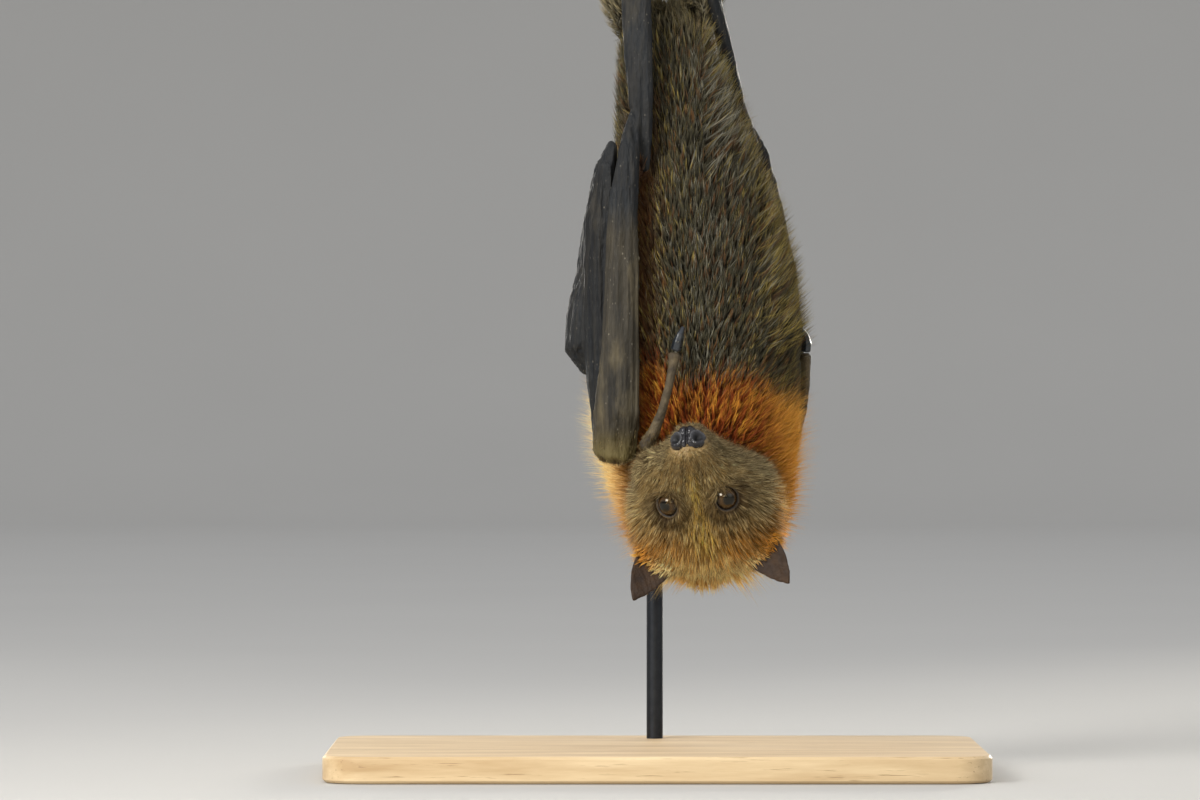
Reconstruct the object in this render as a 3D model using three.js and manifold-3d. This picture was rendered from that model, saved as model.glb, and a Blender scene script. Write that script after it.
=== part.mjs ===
// A grey-headed flying fox (a fruit bat), life size: it hangs head-down by both feet from a short length of
// branch, wings folded, face turned up to look ahead, and a plain display stand holds the branch up.
//
// Millimetres, +Z up. The belly faces -Y, the bat's left wing is on the -X side, and the origin is the
// middle of the stand's underside. The bat is laid out in a frame of its own, whose height 0 is the bottom
// of its crown; the group at the end lifts it onto the stand. Every outline is that of the coat's tips.

import * as THREE from 'three';
import { LoftGeometry } from 'three/addons/geometries/LoftGeometry.js';
import { mergeVertices } from 'three/addons/utils/BufferGeometryUtils.js';
import Module from 'manifold-3d';

const wasm = await Module();
wasm.setup();

// ---------------------------------------------------------------- driving dimensions

const GAP = 0.3; // between neighbours

// Where the bat hangs over its stand
const CROWN_HEIGHT = 80; // crown above the table
const PERCH_X = -22; // middle of the two feet, in the bat's frame

// Perch
const PERCH_LENGTH = 220;
const PERCH_RADIUS = 11;
const PERCH_Y = -2;
const PERCH_Z = 395;

// Stand
const BASE = { width: 300, depth: 190, height: 12, corner: 16, bevel: 1.2 };
const ROD_RADIUS = 4;
const ROD_Y = 68; // behind the back
const ROD_BEND = 32;
const ROD_SEAT = 9; // how deep it stands in the base

// Head: nose tip, and how the head is turned from facing straight down the -Y axis
const NOSE_TIP = new THREE.Vector3(-8.8, -60, 72.5);
const HEAD_PITCH = THREE.MathUtils.degToRad(44); // muzzle above the horizontal
const HEAD_YAW = THREE.MathUtils.degToRad(8.5); // muzzle towards -X
const HEAD_ROLL = THREE.MathUtils.degToRad(6.5); // the eye on the +X side is the higher one
const EYE_RADIUS = 6.5;
const EYE_AT = { sideways: 11.9, forward: -30.4, crown: 8.7 }; // from the nose tip
const NOSE_PAD = { halfWidth: 7.4, halfHeight: 6.6, halfDepth: 5.2, centre: [0, -2.5, -3] };
// Fur that the wrist pushes up beside the muzzle, sideways, forward and crownward of the nose tip
const LEFT_CHEEK = { centre: [-14.5, -27.5, -6.5], halfSize: [12.8, 14.5, 11.5] };

// Ear: root and tip as sideways, forward and crownward of the nose tip
const EAR = {
  root: [18, -57, 9],
  tip: [36, -66, 33],
  bow: 1.2,
  halfWidth: 8.9,
  hollow: 3.2,
  halfThickness: 0.9,
  wide: [0.64, 0.535, -0.554], // the way its width runs
};

// Legs, each side of PERCH_X
const HIP_X = -18; // middle of the two hips
const HIP_SPREAD = 11;
const KNEE_SPREAD = 23;
const FOOT_SPREAD = 17;
const FOOT_Y = PERCH_Y + PERCH_RADIUS + 3.5; // behind the perch
const ANKLE_Z = 376;
const TOE_PITCH = 3.9;
const TOE_RADIUS = 1.8;
const TOES = ['first', 'second', 'third', 'fourth', 'fifth'];

// How the right wing is laid further round the back than the left one
const TUCK_TURN = THREE.MathUtils.degToRad(82);
const TUCK_IN = 2;
const THUMB_TUCK_IN = 8;
const STRAP_TUCK_IN = 5;

// The thin skin between the leg membrane's strap and the leg
const WEB_THICKNESS = 1.4;
const WEB_SAG = 2.5; // in thicknesses
const WEB_ROWS = 4;

// ---------------------------------------------------------------- materials

const finish = (color, roughness, metalness = 0) => ({ color, roughness, metalness });

const FINISHES = {
  greyFur: finish(0x6a5f4c, 0.95),
  rustFur: finish(0xa4561c, 0.95),
  darkFur: finish(0x3b342a, 0.95),
  legFur: finish(0x6b6048, 0.95),
  wingSkin: finish(0x3a3835, 0.55),
  earSkin: finish(0x2e231d, 0.5),
  noseSkin: finish(0x1e1d1f, 0.35),
  eye: finish(0x21140c, 0.05),
  claw: finish(0x1d2026, 0.35),
  footSkin: finish(0x2f2a26, 0.6),
  bark: finish(0x8a7458, 0.9),
  oak: finish(0xa98a63, 0.55),
  steel: finish(0x3c3e41, 0.4, 0.8),
};

// ---------------------------------------------------------------- solids

const v3 = (x, y, z) => new THREE.Vector3(x, y, z);

/** The closed solid that a closed geometry bounds. */
function solidOf(geometry) {
  const bare = new THREE.BufferGeometry();
  bare.setAttribute('position', geometry.attributes.position);
  bare.setIndex(geometry.index);
  const merged = mergeVertices(bare);
  const mesh = new wasm.Mesh({
    numProp: 3,
    vertProperties: new Float32Array(merged.attributes.position.array),
    triVerts: new Uint32Array(merged.index.array),
  });
  return new wasm.Manifold(mesh);
}

/** The geometry of a solid, for its mesh. */
function geometryOf(solid) {
  const { vertProperties, triVerts } = solid.getMesh();
  const geometry = new THREE.BufferGeometry();
  geometry.setAttribute('position', new THREE.BufferAttribute(vertProperties, 3));
  geometry.setIndex(new THREE.BufferAttribute(triVerts, 1));
  geometry.computeVertexNormals();
  return geometry;
}

const carve = (solid, ...others) => others.reduce((left, other) => left.subtract(other), solid);

/** The part of a solid below a height, or above it. */
function slice(solid, height, above) {
  const size = 2000;
  const box = new THREE.BoxGeometry(size, size, size);
  box.translate(0, 0, height + (above ? 1 : -1) * (size / 2 + GAP / 2));
  return solid.intersect(solidOf(box));
}

/** Moves every point of a geometry by a function, turning its faces round if the function mirrors it. */
function moved(geometry, move, mirrors) {
  const place = geometry.attributes.position;
  const point = v3(0, 0, 0);
  for (let i = 0; i < place.count; i++) {
    point.fromBufferAttribute(place, i);
    const { x, y, z } = move(point);
    place.setXYZ(i, x, y, z);
  }
  if (mirrors) geometry.index.array.reverse();
  return geometry;
}

/**
 * A rounded closed body along a smooth path. A station is [point, half width along `side`, half depth on the
 * face that path x side points to, half depth on the other face]. `blunt` is how far each end bulges, as a
 * share of its size there, and `square` how full the first face's corners are, where 1 is an ellipse.
 * `grow` makes the body larger all round, for cutting its seat in a neighbour.
 */
function limb({ stations, side, rings, segments, blunt = [0.8, 0.8], square = 1 }, grow = 0) {
  const path = new THREE.CatmullRomCurve3(stations.map(([point]) => point));
  const sizes = stations.map(([, width, depth, back = depth]) => v3(width, depth, back));
  const size = new THREE.CatmullRomCurve3(sizes);

  const section = (t, past, share) => {
    const ahead = path.getTangent(t);
    const across = side.clone().addScaledVector(ahead, -side.dot(ahead)).normalize();
    const deep = ahead.clone().cross(across);
    const { x: width, y: depth, z: back } = size.getPoint(t);
    const middle = path.getPoint(t).addScaledVector(ahead, past);
    return Array.from({ length: segments }, (_, i) => {
      const turn = (2 * Math.PI * i) / segments;
      const [c, s] = [Math.cos(turn), Math.sin(turn)];
      const full = s > 0 ? (c ** 4 + s ** 4) ** ((1 / square - 1) / 4) : 1;
      const half = (s > 0 ? depth : back) + grow;
      return middle
        .clone()
        .addScaledVector(across, share * full * (width + grow) * c)
        .addScaledVector(deep, share * full * half * s);
    });
  };

  const bulge = (t, share) => {
    const { x, y, z } = size.getPoint(t);
    return share * ((2 * x + y + z) / 4) + grow;
  };

  const capAngles = (segments > 10 ? [68, 36] : [50]).map(THREE.MathUtils.degToRad);
  const sections = [];
  for (const a of capAngles) sections.push(section(0, -bulge(0, blunt[0]) * Math.sin(a), Math.cos(a)));
  for (let i = 0; i <= rings; i++) sections.push(section(i / rings, 0, 1));
  for (const a of capAngles.toReversed()) {
    sections.push(section(1, bulge(1, blunt[1]) * Math.sin(a), Math.cos(a)));
  }
  return new LoftGeometry(sections, { capStart: true, capEnd: true });
}

const limbSolid = (spec, grow) => solidOf(limb(spec, grow));

// ---------------------------------------------------------------- trunk and neck

const ACROSS = v3(1, 0, 0);

const TRUNK = {
  side: ACROSS,
  rings: 6,
  segments: 14,
  blunt: [0.05, 0.7],
  stations: [
    [v3(-3.5, 5, 84), 47, 34, 33],
    [v3(-4, 5, 114), 53, 36, 39],
    [v3(-5, 5, 140), 50, 36, 38],
    [v3(-8, 5, 170), 46, 35, 36],
    [v3(-10, 6, 195), 38, 31, 31],
    [v3(-12, 7, 215), 31, 27, 26],
    [v3(-17, 8, 242), 27, 24, 21],
    [v3(-19, 9, 260), 23, 20, 17],
  ],
};

const MANTLE = {
  side: ACROSS,
  rings: 5,
  segments: 14,
  blunt: [0.5, 0.05],
  stations: [
    [v3(2, 5, 15), 27, 22, 19],
    [v3(1, 7, 33), 40, 31, 29],
    [v3(0, 6, 57), 46, 35, 34],
    [v3(-3, 5, 80), 50, 36, 35],
    [v3(-4, 5, 108), 51, 35, 37],
  ],
};

const NECK_LINE = 96; // height where the neck ends and the trunk begins

// ---------------------------------------------------------------- head

const headTurn = new THREE.Matrix4()
  .makeRotationY(-HEAD_ROLL)
  .multiply(new THREE.Matrix4().makeRotationZ(-HEAD_YAW));
const LATERAL = v3(1, 0, 0).transformDirection(headTurn);
const MUZZLE = v3(0, -Math.cos(HEAD_PITCH), Math.sin(HEAD_PITCH)).transformDirection(headTurn);
const CROWN = v3(0, -Math.sin(HEAD_PITCH), -Math.cos(HEAD_PITCH)).transformDirection(headTurn);

/** A point of the head: how far to the +X side, forward of the nose tip, and towards the crown. */
function headPoint(lateral, forward, crown) {
  return NOSE_TIP.clone()
    .addScaledVector(LATERAL, lateral)
    .addScaledVector(MUZZLE, forward)
    .addScaledVector(CROWN, crown);
}

// Forward of the nose tip, half width, throat depth, crown depth
const HEAD = {
  side: LATERAL,
  rings: 8,
  segments: 12,
  blunt: [0.5, 0.35],
  square: 2,
  stations: [
    [-76, 25, 16, 14],
    [-66, 32, 25, 22],
    [-54, 35, 31, 25],
    [-43, 34.5, 31, 22],
    [-33, 28, 27.5, 17],
    [-23, 18.5, 23, 12],
    [-13, 12.8, 20, 8.8],
    [-5, 10, 16.5, 7],
  ].map(([forward, ...sizes]) => [headPoint(0, forward, 0), ...sizes]),
};

/** A rounded lump of the head, its half sizes along the head's own axes. */
function lump(centre, halfSize, grow) {
  const shape = new THREE.SphereGeometry(1, 10, 6);
  shape.scale(...halfSize.map((half) => half + grow));
  shape.applyMatrix4(new THREE.Matrix4().makeBasis(LATERAL, MUZZLE, CROWN));
  const { x, y, z } = headPoint(...centre);
  return shape.translate(x, y, z);
}

const noseShape = (grow = 0) => {
  const { halfWidth, halfHeight, halfDepth, centre } = NOSE_PAD;
  return lump(centre, [halfWidth, halfDepth, halfHeight], grow);
};

const eyeShape = (sign, grow = 0) => {
  const eye = new THREE.SphereGeometry(EYE_RADIUS + grow, 12, 7);
  const { x, y, z } = headPoint(sign * EYE_AT.sideways, EYE_AT.forward, EYE_AT.crown);
  return eye.translate(x, y, z);
};

/** A pointed leaf of skin, hollow towards the front, from inside the coat to the tip. */
function earShape(sign, grow = 0) {
  const at = ([lateral, ...rest]) => headPoint(sign * lateral, ...rest);
  const [root, tip] = [at(EAR.root), at(EAR.tip)];
  const bend = root.clone().lerp(tip, 0.45).addScaledVector(LATERAL, sign * EAR.bow);
  const axis = new THREE.CatmullRomCurve3([root, bend, tip]);
  const [sideways, forward, crownward] = EAR.wide;
  const wide = v3(0, 0, 0)
    .addScaledVector(LATERAL, sign * sideways)
    .addScaledVector(MUZZLE, forward)
    .addScaledVector(CROWN, crownward);
  const across = 4;
  const rows = 7;
  const sections = [];
  for (let row = 0; row <= rows; row++) {
    const t = row / rows;
    const ahead = axis.getTangent(t);
    const out = wide.clone().addScaledVector(ahead, -wide.dot(ahead)).normalize();
    const front = ahead.clone().cross(out).multiplyScalar(sign);
    const half = EAR.halfWidth * Math.sin(Math.PI * (0.28 + 0.72 * t)) ** 0.8 + 0.3 + grow;
    const face = (i, way) => {
      const v = (2 * i) / across - 1;
      const curl = EAR.hollow * (1 - t) * v * v;
      return axis
        .getPoint(t)
        .addScaledVector(ahead, row === rows ? grow : 0)
        .addScaledVector(out, half * v)
        .addScaledVector(front, curl + way * (EAR.halfThickness * (1 - 0.5 * v * v) + grow));
    };
    const points = [];
    for (let i = 0; i <= across; i++) points.push(face(i, -1));
    for (let i = across; i >= 0; i--) points.push(face(i, 1));
    sections.push(sign > 0 ? points : points.toReversed());
  }
  return new LoftGeometry(sections, { capStart: true, capEnd: true });
}

// ---------------------------------------------------------------- wings, as laid on the left side

const WING = {
  upper_arm: {
    side: ACROSS,
    rings: 3,
    segments: 8,
    blunt: [0.6, 0.8],
    stations: [
      [v3(-41, -17, 112), 9, 9],
      [v3(-39, -22, 150), 7.5, 7.5],
      [v3(-35, -20.5, 190), 6.2, 6],
      [v3(-31, -18.5, 219), 4.4, 4.4],
    ],
  },
  forearm: {
    side: v3(1, -0.25, 0).normalize(),
    rings: 6,
    segments: 8,
    blunt: [0.7, 0.55],
    stations: [
      [v3(-31.6, -22, 221), 2.6, 2.6],
      [v3(-34.8, -27, 204), 5.3, 4],
      [v3(-36.7, -30, 181), 7, 4.4],
      [v3(-37.7, -33, 150), 8, 4.8],
      [v3(-38.3, -34, 118), 8.5, 5],
      [v3(-39.6, -32, 86), 11, 5.6],
      [v3(-41.2, -27, 66.5), 10.4, 6.6],
    ],
  },
  // The palm: wrist and the five hand bones laid side by side, folded back up along the forearm
  hand: {
    side: v3(1, 0.35, 0).normalize(),
    rings: 5,
    segments: 8,
    blunt: [0.5, 0.8],
    stations: [
      [v3(-44, -18, 72), 6, 9],
      [v3(-46.5, -17, 100), 7, 11.5],
      [v3(-48, -16, 140), 7, 12],
      [v3(-48, -15, 172), 6.4, 11.5],
      [v3(-45, -15, 198), 4, 8],
      [v3(-42, -16, 207), 2, 4],
    ],
  },
  // The finger ends, folded down again outside the palm, with the wing's skin pleated between them
  wing_tip: {
    side: v3(1, 0.2, 0).normalize(),
    rings: 5,
    segments: 8,
    blunt: [0.8, 0.8],
    stations: [
      [v3(-54, -4, 106), 3, 6],
      [v3(-58, -3, 115), 5.6, 12],
      [v3(-57, -1, 130), 5.4, 15],
      [v3(-53.2, 0, 148), 5, 15.5],
      [v3(-50.6, -1, 170), 4.2, 13],
      [v3(-48, -5, 194), 2, 6],
    ],
  },
  // The skin between arm and leg, gathered into a strap that runs up to the ankle
  leg_membrane: {
    side: v3(1, -0.35, 0).normalize(),
    rings: 7,
    segments: 8,
    blunt: [0.8, 0.8],
    stations: [
      [v3(-27.5, -23, 196), 2.2, 1.6],
      [v3(-27.5, -23.5, 212), 4.2, 2.2],
      [v3(-29.5, -21, 232), 6.2, 2.8],
      [v3(-30.5, -16, 262), 7.4, 3],
      [v3(-32.5, -9, 300), 7.2, 2.8],
      [v3(-36.5, 0, 342), 5, 2.4],
      [v3(-39.5, 5, 366), 3, 1.8],
    ],
  },
  thumb: {
    side: v3(1, 0, 0.35).normalize(),
    rings: 5,
    segments: 8,
    blunt: [0.6, 0.7],
    stations: [
      [v3(-27, -32, 70), 3.4, 3.2],
      [v3(-22.4, -35.5, 78), 2.7, 2.6],
      [v3(-18, -38.5, 91), 1.9, 1.9],
      [v3(-14.9, -39.5, 105), 2, 2],
      [v3(-14, -39.5, 111), 2.9, 2.6],
    ],
  },
  thumb_claw: {
    side: ACROSS,
    rings: 3,
    segments: 6,
    blunt: [0.3, 1],
    stations: [
      [v3(-13.4, -39.8, 114), 2, 2.1],
      [v3(-12, -40.5, 119), 1.6, 1.8],
      [v3(-10.2, -38.8, 123.4), 0.6, 0.8],
    ],
  },
};

// The body's middle and its half width, back and front at each height, from the neck to the feet
const BODY_LINE = [
  ...MANTLE.stations.slice(0, -1),
  ...TRUNK.stations.slice(1),
  [v3(PERCH_X, 12, 320), 15, 15, 15],
  [v3(PERCH_X, 12, 420), 15, 15, 15],
].map(([middle, width, back, front]) => ({ middle, width, back, front }));

function bodyAt(height) {
  const last = BODY_LINE.length - 1;
  const found = BODY_LINE.findIndex(({ middle }) => middle.z > height);
  const above = found < 0 ? last : Math.max(found, 1);
  const [low, high] = [BODY_LINE[above - 1], BODY_LINE[above]];
  const share = (height - low.middle.z) / (high.middle.z - low.middle.z);
  const mix = (name) => THREE.MathUtils.lerp(low[name], high[name], share);
  const reach = (turn) => {
    const depth = mix(turn > 0 ? 'back' : 'front');
    return 1 / Math.hypot(Math.cos(turn) / mix('width'), Math.sin(turn) / depth);
  };
  return { middle: low.middle.clone().lerp(high.middle, share), reach };
}

/** Carries a point of the left wing to the right one: mirrored, then turned round the body to the back. */
function toRightWing(point, tuckIn) {
  const { middle, reach } = bodyAt(point.z);
  const [x, y] = [middle.x - point.x, point.y - middle.y];
  const from = Math.atan2(y, x);
  const { smoothstep } = THREE.MathUtils;
  const to = from + TUCK_TURN * (1 - smoothstep(point.z, 228, 368));
  const strap = smoothstep(point.z, 212, 236) * (1 - smoothstep(point.z, 270, 330));
  const inward = tuckIn * (1 - smoothstep(point.z, 218, 246)) + STRAP_TUCK_IN * strap;
  const out = reach(to) + Math.hypot(x, y) - reach(from) - inward;
  return v3(middle.x + out * Math.cos(to), middle.y + out * Math.sin(to), point.z);
}

const SIDES = { left: -1, right: 1 };

function wingSolid(name, sideName, grow = 0) {
  const shape = limb(WING[name], grow);
  if (sideName === 'left') return solidOf(shape);
  const tuckIn = name.startsWith('thumb') ? THUMB_TUCK_IN : TUCK_IN;
  return solidOf(moved(shape, (point) => toRightWing(point, tuckIn), true));
}

// ---------------------------------------------------------------- legs

/** A point of a leg: `out` from the middle of the feet, on the side that `sign` names. */
const legPoint = (sign, out, y, z) => v3(PERCH_X + sign * out, y, z);

function legSpecs(sign) {
  const hip = v3(HIP_X + sign * HIP_SPREAD, 9, 246);
  const knee = legPoint(sign, KNEE_SPREAD, 29, 302);
  const ankle = legPoint(sign, FOOT_SPREAD, FOOT_Y, ANKLE_Z);
  return {
    thigh: {
      side: ACROSS,
      rings: 3,
      segments: 10,
      stations: [
        [hip, 13, 13],
        [hip.clone().lerp(knee, 0.5), 11, 12],
        [knee, 7.5, 8],
      ],
    },
    shin: {
      side: ACROSS,
      rings: 5,
      segments: 8,
      stations: [
        [knee, 7, 7.5],
        [knee.clone().lerp(ankle, 0.35).add(v3(0, 1.5, 0)), 6, 6.4],
        [knee.clone().lerp(ankle, 0.75), 4.2, 4.6],
        [ankle, 3.6, 3.8],
      ],
    },
    sole: {
      side: ACROSS,
      rings: 3,
      segments: 8,
      stations: [
        [ankle, 4, 3.8],
        [ankle.clone().add(v3(0, 0.8, 8)), 6.2, 4],
        [ankle.clone().add(v3(0, 1, 15)), 8.6, 3.4],
      ],
    },
  };
}

/** The thin skin stretched from the leg membrane's strap to the leg behind it. */
function webSolid(sideName) {
  const sign = SIDES[sideName];
  const { thigh, shin } = legSpecs(sign);
  const legPoints = [thigh.stations[1], shin.stations[0], shin.stations[2], shin.stations[3]];
  const strapPoints = WING.leg_membrane.stations.slice(3).map(([point]) => [
    sign < 0 ? point : toRightWing(point, TUCK_IN),
  ]);
  const [strap, leg] = [strapPoints, legPoints].map(
    (stations) => new THREE.CatmullRomCurve3(stations.map(([point]) => point)),
  );
  const sections = [];
  for (let row = 0; row <= WEB_ROWS; row++) {
    const [near, far] = [strap, leg].map((curve) => curve.getPoint(row / WEB_ROWS));
    const across = far.clone().sub(near);
    const thick = across.clone().cross(v3(0, 0, 1)).setLength(WEB_THICKNESS / 2);
    const middle = near.clone().lerp(far, 0.5).addScaledVector(thick, WEB_SAG);
    const edge = [near, middle, far];
    sections.push([
      ...edge.map((point) => point.clone().add(thick)),
      ...edge.toReversed().map((point) => point.clone().sub(thick)),
    ]);
  }
  return solidOf(new LoftGeometry(sections, { capStart: true, capEnd: true }));
}

/** A point beside the perch: angle 0 is behind it, 90 on top of it and 180 in front of it. */
function gripPoint(x, degrees, reach) {
  const turn = THREE.MathUtils.degToRad(degrees);
  return v3(x, PERCH_Y + reach * Math.cos(turn), PERCH_Z + reach * Math.sin(turn));
}

function toeSpecs(sign, index) {
  const fan = index - (TOES.length - 1) / 2;
  const x = PERCH_X + sign * FOOT_SPREAD + fan * TOE_PITCH;
  const reach = PERCH_RADIUS + TOE_RADIUS + GAP + 0.3;
  const arc = (from, to, steps, radii, lift) =>
    Array.from({ length: steps + 1 }, (_, i) => {
      const share = i / steps;
      const radius = radii(share);
      const at = gripPoint(x, from + (to - from) * share, reach + lift(share));
      return [at, radius, radius * 1.1];
    });
  const root = legPoint(sign, FOOT_SPREAD + sign * fan * TOE_PITCH * 0.7, FOOT_Y + 1, ANKLE_Z + 10);
  const knuckles = (share) => TOE_RADIUS * (0.9 + 0.12 * Math.cos(4 * Math.PI * share));
  return {
    toe: {
      side: ACROSS,
      rings: 3,
      segments: 6,
      stations: [[root, TOE_RADIUS, TOE_RADIUS], ...arc(-8, 90, 4, knuckles, () => 0.2)],
    },
    claw: {
      side: ACROSS,
      rings: 3,
      segments: 4,
      blunt: [0.3, 1],
      stations: arc(103, 168, 4, (share) => 1.4 - 0.95 * share ** 1.4, (share) => 1.1 - 1.6 * share ** 2),
    },
  };
}

// ---------------------------------------------------------------- perch and stand

function perchShape() {
  const half = PERCH_LENGTH / 2;
  const knots = 10;
  const stations = [];
  for (let i = 0; i <= knots; i++) {
    const x = -half + (PERCH_LENGTH * i) / knots;
    const away = Math.max(Math.abs(x) - 34, 0) / half; // straight and round where the feet hold it
    const swell = 1 + 0.35 * away ** 1.5 + 0.07 * away * Math.sin(0.11 * x);
    const radius = PERCH_RADIUS * swell;
    const middle = v3(PERCH_X + x, PERCH_Y + 5 * away * Math.sin(0.02 * x), PERCH_Z - 12 * away * away);
    stations.push([middle, radius, radius]);
  }
  return limb({ side: v3(0, 1, 0), rings: 7, segments: 10, blunt: [0.02, 0.02], stations });
}

/** One length of round bar: up from the base behind the bat, over a bend, and into the perch's back. */
function rodShape(grow = 0) {
  const turns = 5;
  const points = [v3(PERCH_X, ROD_Y, BASE.height - ROD_SEAT - CROWN_HEIGHT)];
  for (let i = 0; i <= turns; i++) {
    const turn = (Math.PI / 2) * (i / turns);
    const y = ROD_Y - ROD_BEND * (1 - Math.cos(turn));
    points.push(v3(PERCH_X, y, PERCH_Z - ROD_BEND * (1 - Math.sin(turn))));
  }
  points.push(v3(PERCH_X, PERCH_Y + PERCH_RADIUS - 6, PERCH_Z));
  const stations = points.map((point) => [point, ROD_RADIUS, ROD_RADIUS]);
  return limb({ side: ACROSS, rings: points.length - 1, segments: 8, blunt: [0.02, 0.02], stations }, grow);
}

function baseShape() {
  const { width, depth, height, corner, bevel } = BASE;
  const [w, d] = [width / 2 - bevel, depth / 2 - bevel];
  const outline = new THREE.Shape();
  outline.moveTo(-w + corner, -d);
  outline.lineTo(w - corner, -d);
  outline.absarc(w - corner, -d + corner, corner, -Math.PI / 2, 0);
  outline.lineTo(w, d - corner);
  outline.absarc(w - corner, d - corner, corner, 0, Math.PI / 2);
  outline.lineTo(-w + corner, d);
  outline.absarc(-w + corner, d - corner, corner, Math.PI / 2, Math.PI);
  outline.lineTo(-w, -d + corner);
  outline.absarc(-w + corner, -d + corner, corner, Math.PI, 1.5 * Math.PI);
  const plate = new THREE.ExtrudeGeometry(outline, {
    depth: height - 2 * bevel,
    curveSegments: 2,
    bevelThickness: bevel,
    bevelSize: bevel,
    bevelSegments: 1,
  });
  return plate.translate(0, 0, bevel);
}

// ---------------------------------------------------------------- assembly

const bat = new THREE.Group();
bat.position.set(-PERCH_X, 0, CROWN_HEIGHT);

const stand = new THREE.Group();

function add(group, name, solid, look) {
  const mesh = new THREE.Mesh(geometryOf(solid), new THREE.MeshStandardMaterial(FINISHES[look]));
  mesh.name = name;
  group.add(mesh);
}

// Head, with its seats for the nose, eyes and ears
const headSolid = (grow) => {
  const cheek = lump(LEFT_CHEEK.centre, LEFT_CHEEK.halfSize, grow);
  return limbSolid(HEAD, grow).add(solidOf(cheek));
};
const nose = solidOf(noseShape());
add(bat, 'nose', nose, 'noseSkin');
let head = carve(headSolid(0), solidOf(noseShape(GAP)));
for (const [sideName, sign] of Object.entries(SIDES)) {
  add(bat, `eye_${sideName}`, solidOf(eyeShape(sign)), 'eye');
  add(bat, `ear_${sideName}`, solidOf(earShape(sign)), 'earSkin');
  head = carve(head, solidOf(eyeShape(sign, GAP)), solidOf(earShape(sign, GAP)));
}
add(bat, 'head', head, 'greyFur');

// What the web ends at, a little larger all round
function fleshOf(sideName) {
  const { thigh, shin, sole } = legSpecs(SIDES[sideName]);
  return [TRUNK, thigh, shin, sole].map((spec) => limbSolid(spec, GAP));
}

// Wings, each piece cut back where the one before it lies
const wingOrder = ['forearm', 'thumb', 'hand', 'wing_tip', 'leg_membrane', 'upper_arm'];
const allWings = [];
const allEars = Object.values(SIDES).map((sign) => solidOf(earShape(sign, GAP)));
for (const sideName of Object.keys(SIDES)) {
  const claw = wingSolid('thumb_claw', sideName);
  add(bat, `thumb_claw_${sideName}`, claw, 'claw');
  const before = [wingSolid('thumb_claw', sideName, GAP), headSolid(GAP)];
  for (const name of wingOrder) {
    const look = name === 'upper_arm' ? 'legFur' : 'wingSkin';
    let piece = carve(wingSolid(name, sideName), ...before);
    if (name === 'leg_membrane') piece = piece.add(carve(webSolid(sideName), ...fleshOf(sideName)));
    add(bat, `${name}_${sideName}`, piece, look);
    before.push(wingSolid(name, sideName, GAP));
  }
  allWings.push(...before);
}

// Trunk and neck: one body, with the wings let into its coat, parted by a thin cut
const body = carve(limbSolid(TRUNK).add(limbSolid(MANTLE)), ...allWings, ...allEars);
add(bat, 'trunk', slice(body, NECK_LINE, true), 'darkFur');
add(bat, 'neck', slice(body, NECK_LINE, false), 'rustFur');

// Legs, from the trunk out to the claws
for (const [sideName, sign] of Object.entries(SIDES)) {
  const { thigh, shin, sole } = legSpecs(sign);
  const skin = wingSolid('leg_membrane', sideName, GAP);
  add(bat, `thigh_${sideName}`, carve(limbSolid(thigh), limbSolid(TRUNK, GAP), skin), 'legFur');
  add(bat, `shin_${sideName}`, carve(limbSolid(shin), limbSolid(thigh, GAP), skin), 'legFur');
  let foot = limbSolid(sole);
  TOES.forEach((toeName, index) => {
    const { toe, claw } = toeSpecs(sign, index);
    foot = foot.add(limbSolid(toe));
    add(bat, `claw_${toeName}_${sideName}`, limbSolid(claw), 'claw');
  });
  add(bat, `foot_${sideName}`, carve(foot, limbSolid(shin, GAP), skin), 'footSkin');
}

// Perch and stand
const rodInPerch = solidOf(rodShape(GAP));
add(bat, 'perch', carve(solidOf(perchShape()), rodInPerch), 'bark');
const rod = rodShape().translate(-PERCH_X, 0, CROWN_HEIGHT);
const rodInBase = rodShape(GAP).translate(-PERCH_X, 0, CROWN_HEIGHT);
add(stand, 'stand_rod', solidOf(rod), 'steel');
add(stand, 'stand_base', carve(solidOf(baseShape()), solidOf(rodInBase)), 'oak');

const fruitBat = new THREE.Group();
fruitBat.add(bat, stand);

export default fruitBat;
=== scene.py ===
"""A grey-headed flying fox, life size: skin, coat, bare wings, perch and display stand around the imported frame."""

import math

import bmesh
import bpy
import numpy as np
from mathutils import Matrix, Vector, noise
from mathutils.bvhtree import BVHTree
from mathutils.kdtree import KDTree


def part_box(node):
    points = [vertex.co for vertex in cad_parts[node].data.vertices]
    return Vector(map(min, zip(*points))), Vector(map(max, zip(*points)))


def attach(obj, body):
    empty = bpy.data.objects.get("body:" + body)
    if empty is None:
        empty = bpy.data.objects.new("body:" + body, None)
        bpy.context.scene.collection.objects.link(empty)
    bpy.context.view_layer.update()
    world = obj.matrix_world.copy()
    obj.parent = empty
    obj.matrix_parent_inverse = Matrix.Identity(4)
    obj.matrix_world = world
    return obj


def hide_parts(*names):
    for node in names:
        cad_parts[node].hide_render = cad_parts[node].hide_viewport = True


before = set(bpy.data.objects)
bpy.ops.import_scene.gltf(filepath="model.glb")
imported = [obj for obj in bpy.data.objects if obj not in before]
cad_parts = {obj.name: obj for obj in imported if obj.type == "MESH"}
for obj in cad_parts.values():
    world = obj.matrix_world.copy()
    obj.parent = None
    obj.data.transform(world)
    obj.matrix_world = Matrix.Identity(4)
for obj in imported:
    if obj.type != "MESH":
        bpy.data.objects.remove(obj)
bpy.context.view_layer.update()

MM = 0.001
SIDES = {"left": -1, "right": 1}
TOES = ("first", "second", "third", "fourth", "fifth")
draw = np.random.default_rng(7)


# ---------------------------------------------------------------- places, from the frame


def middle(node):
    """The middle of a CAD node's box."""
    low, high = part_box(node)
    return (low + high) / 2


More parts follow.
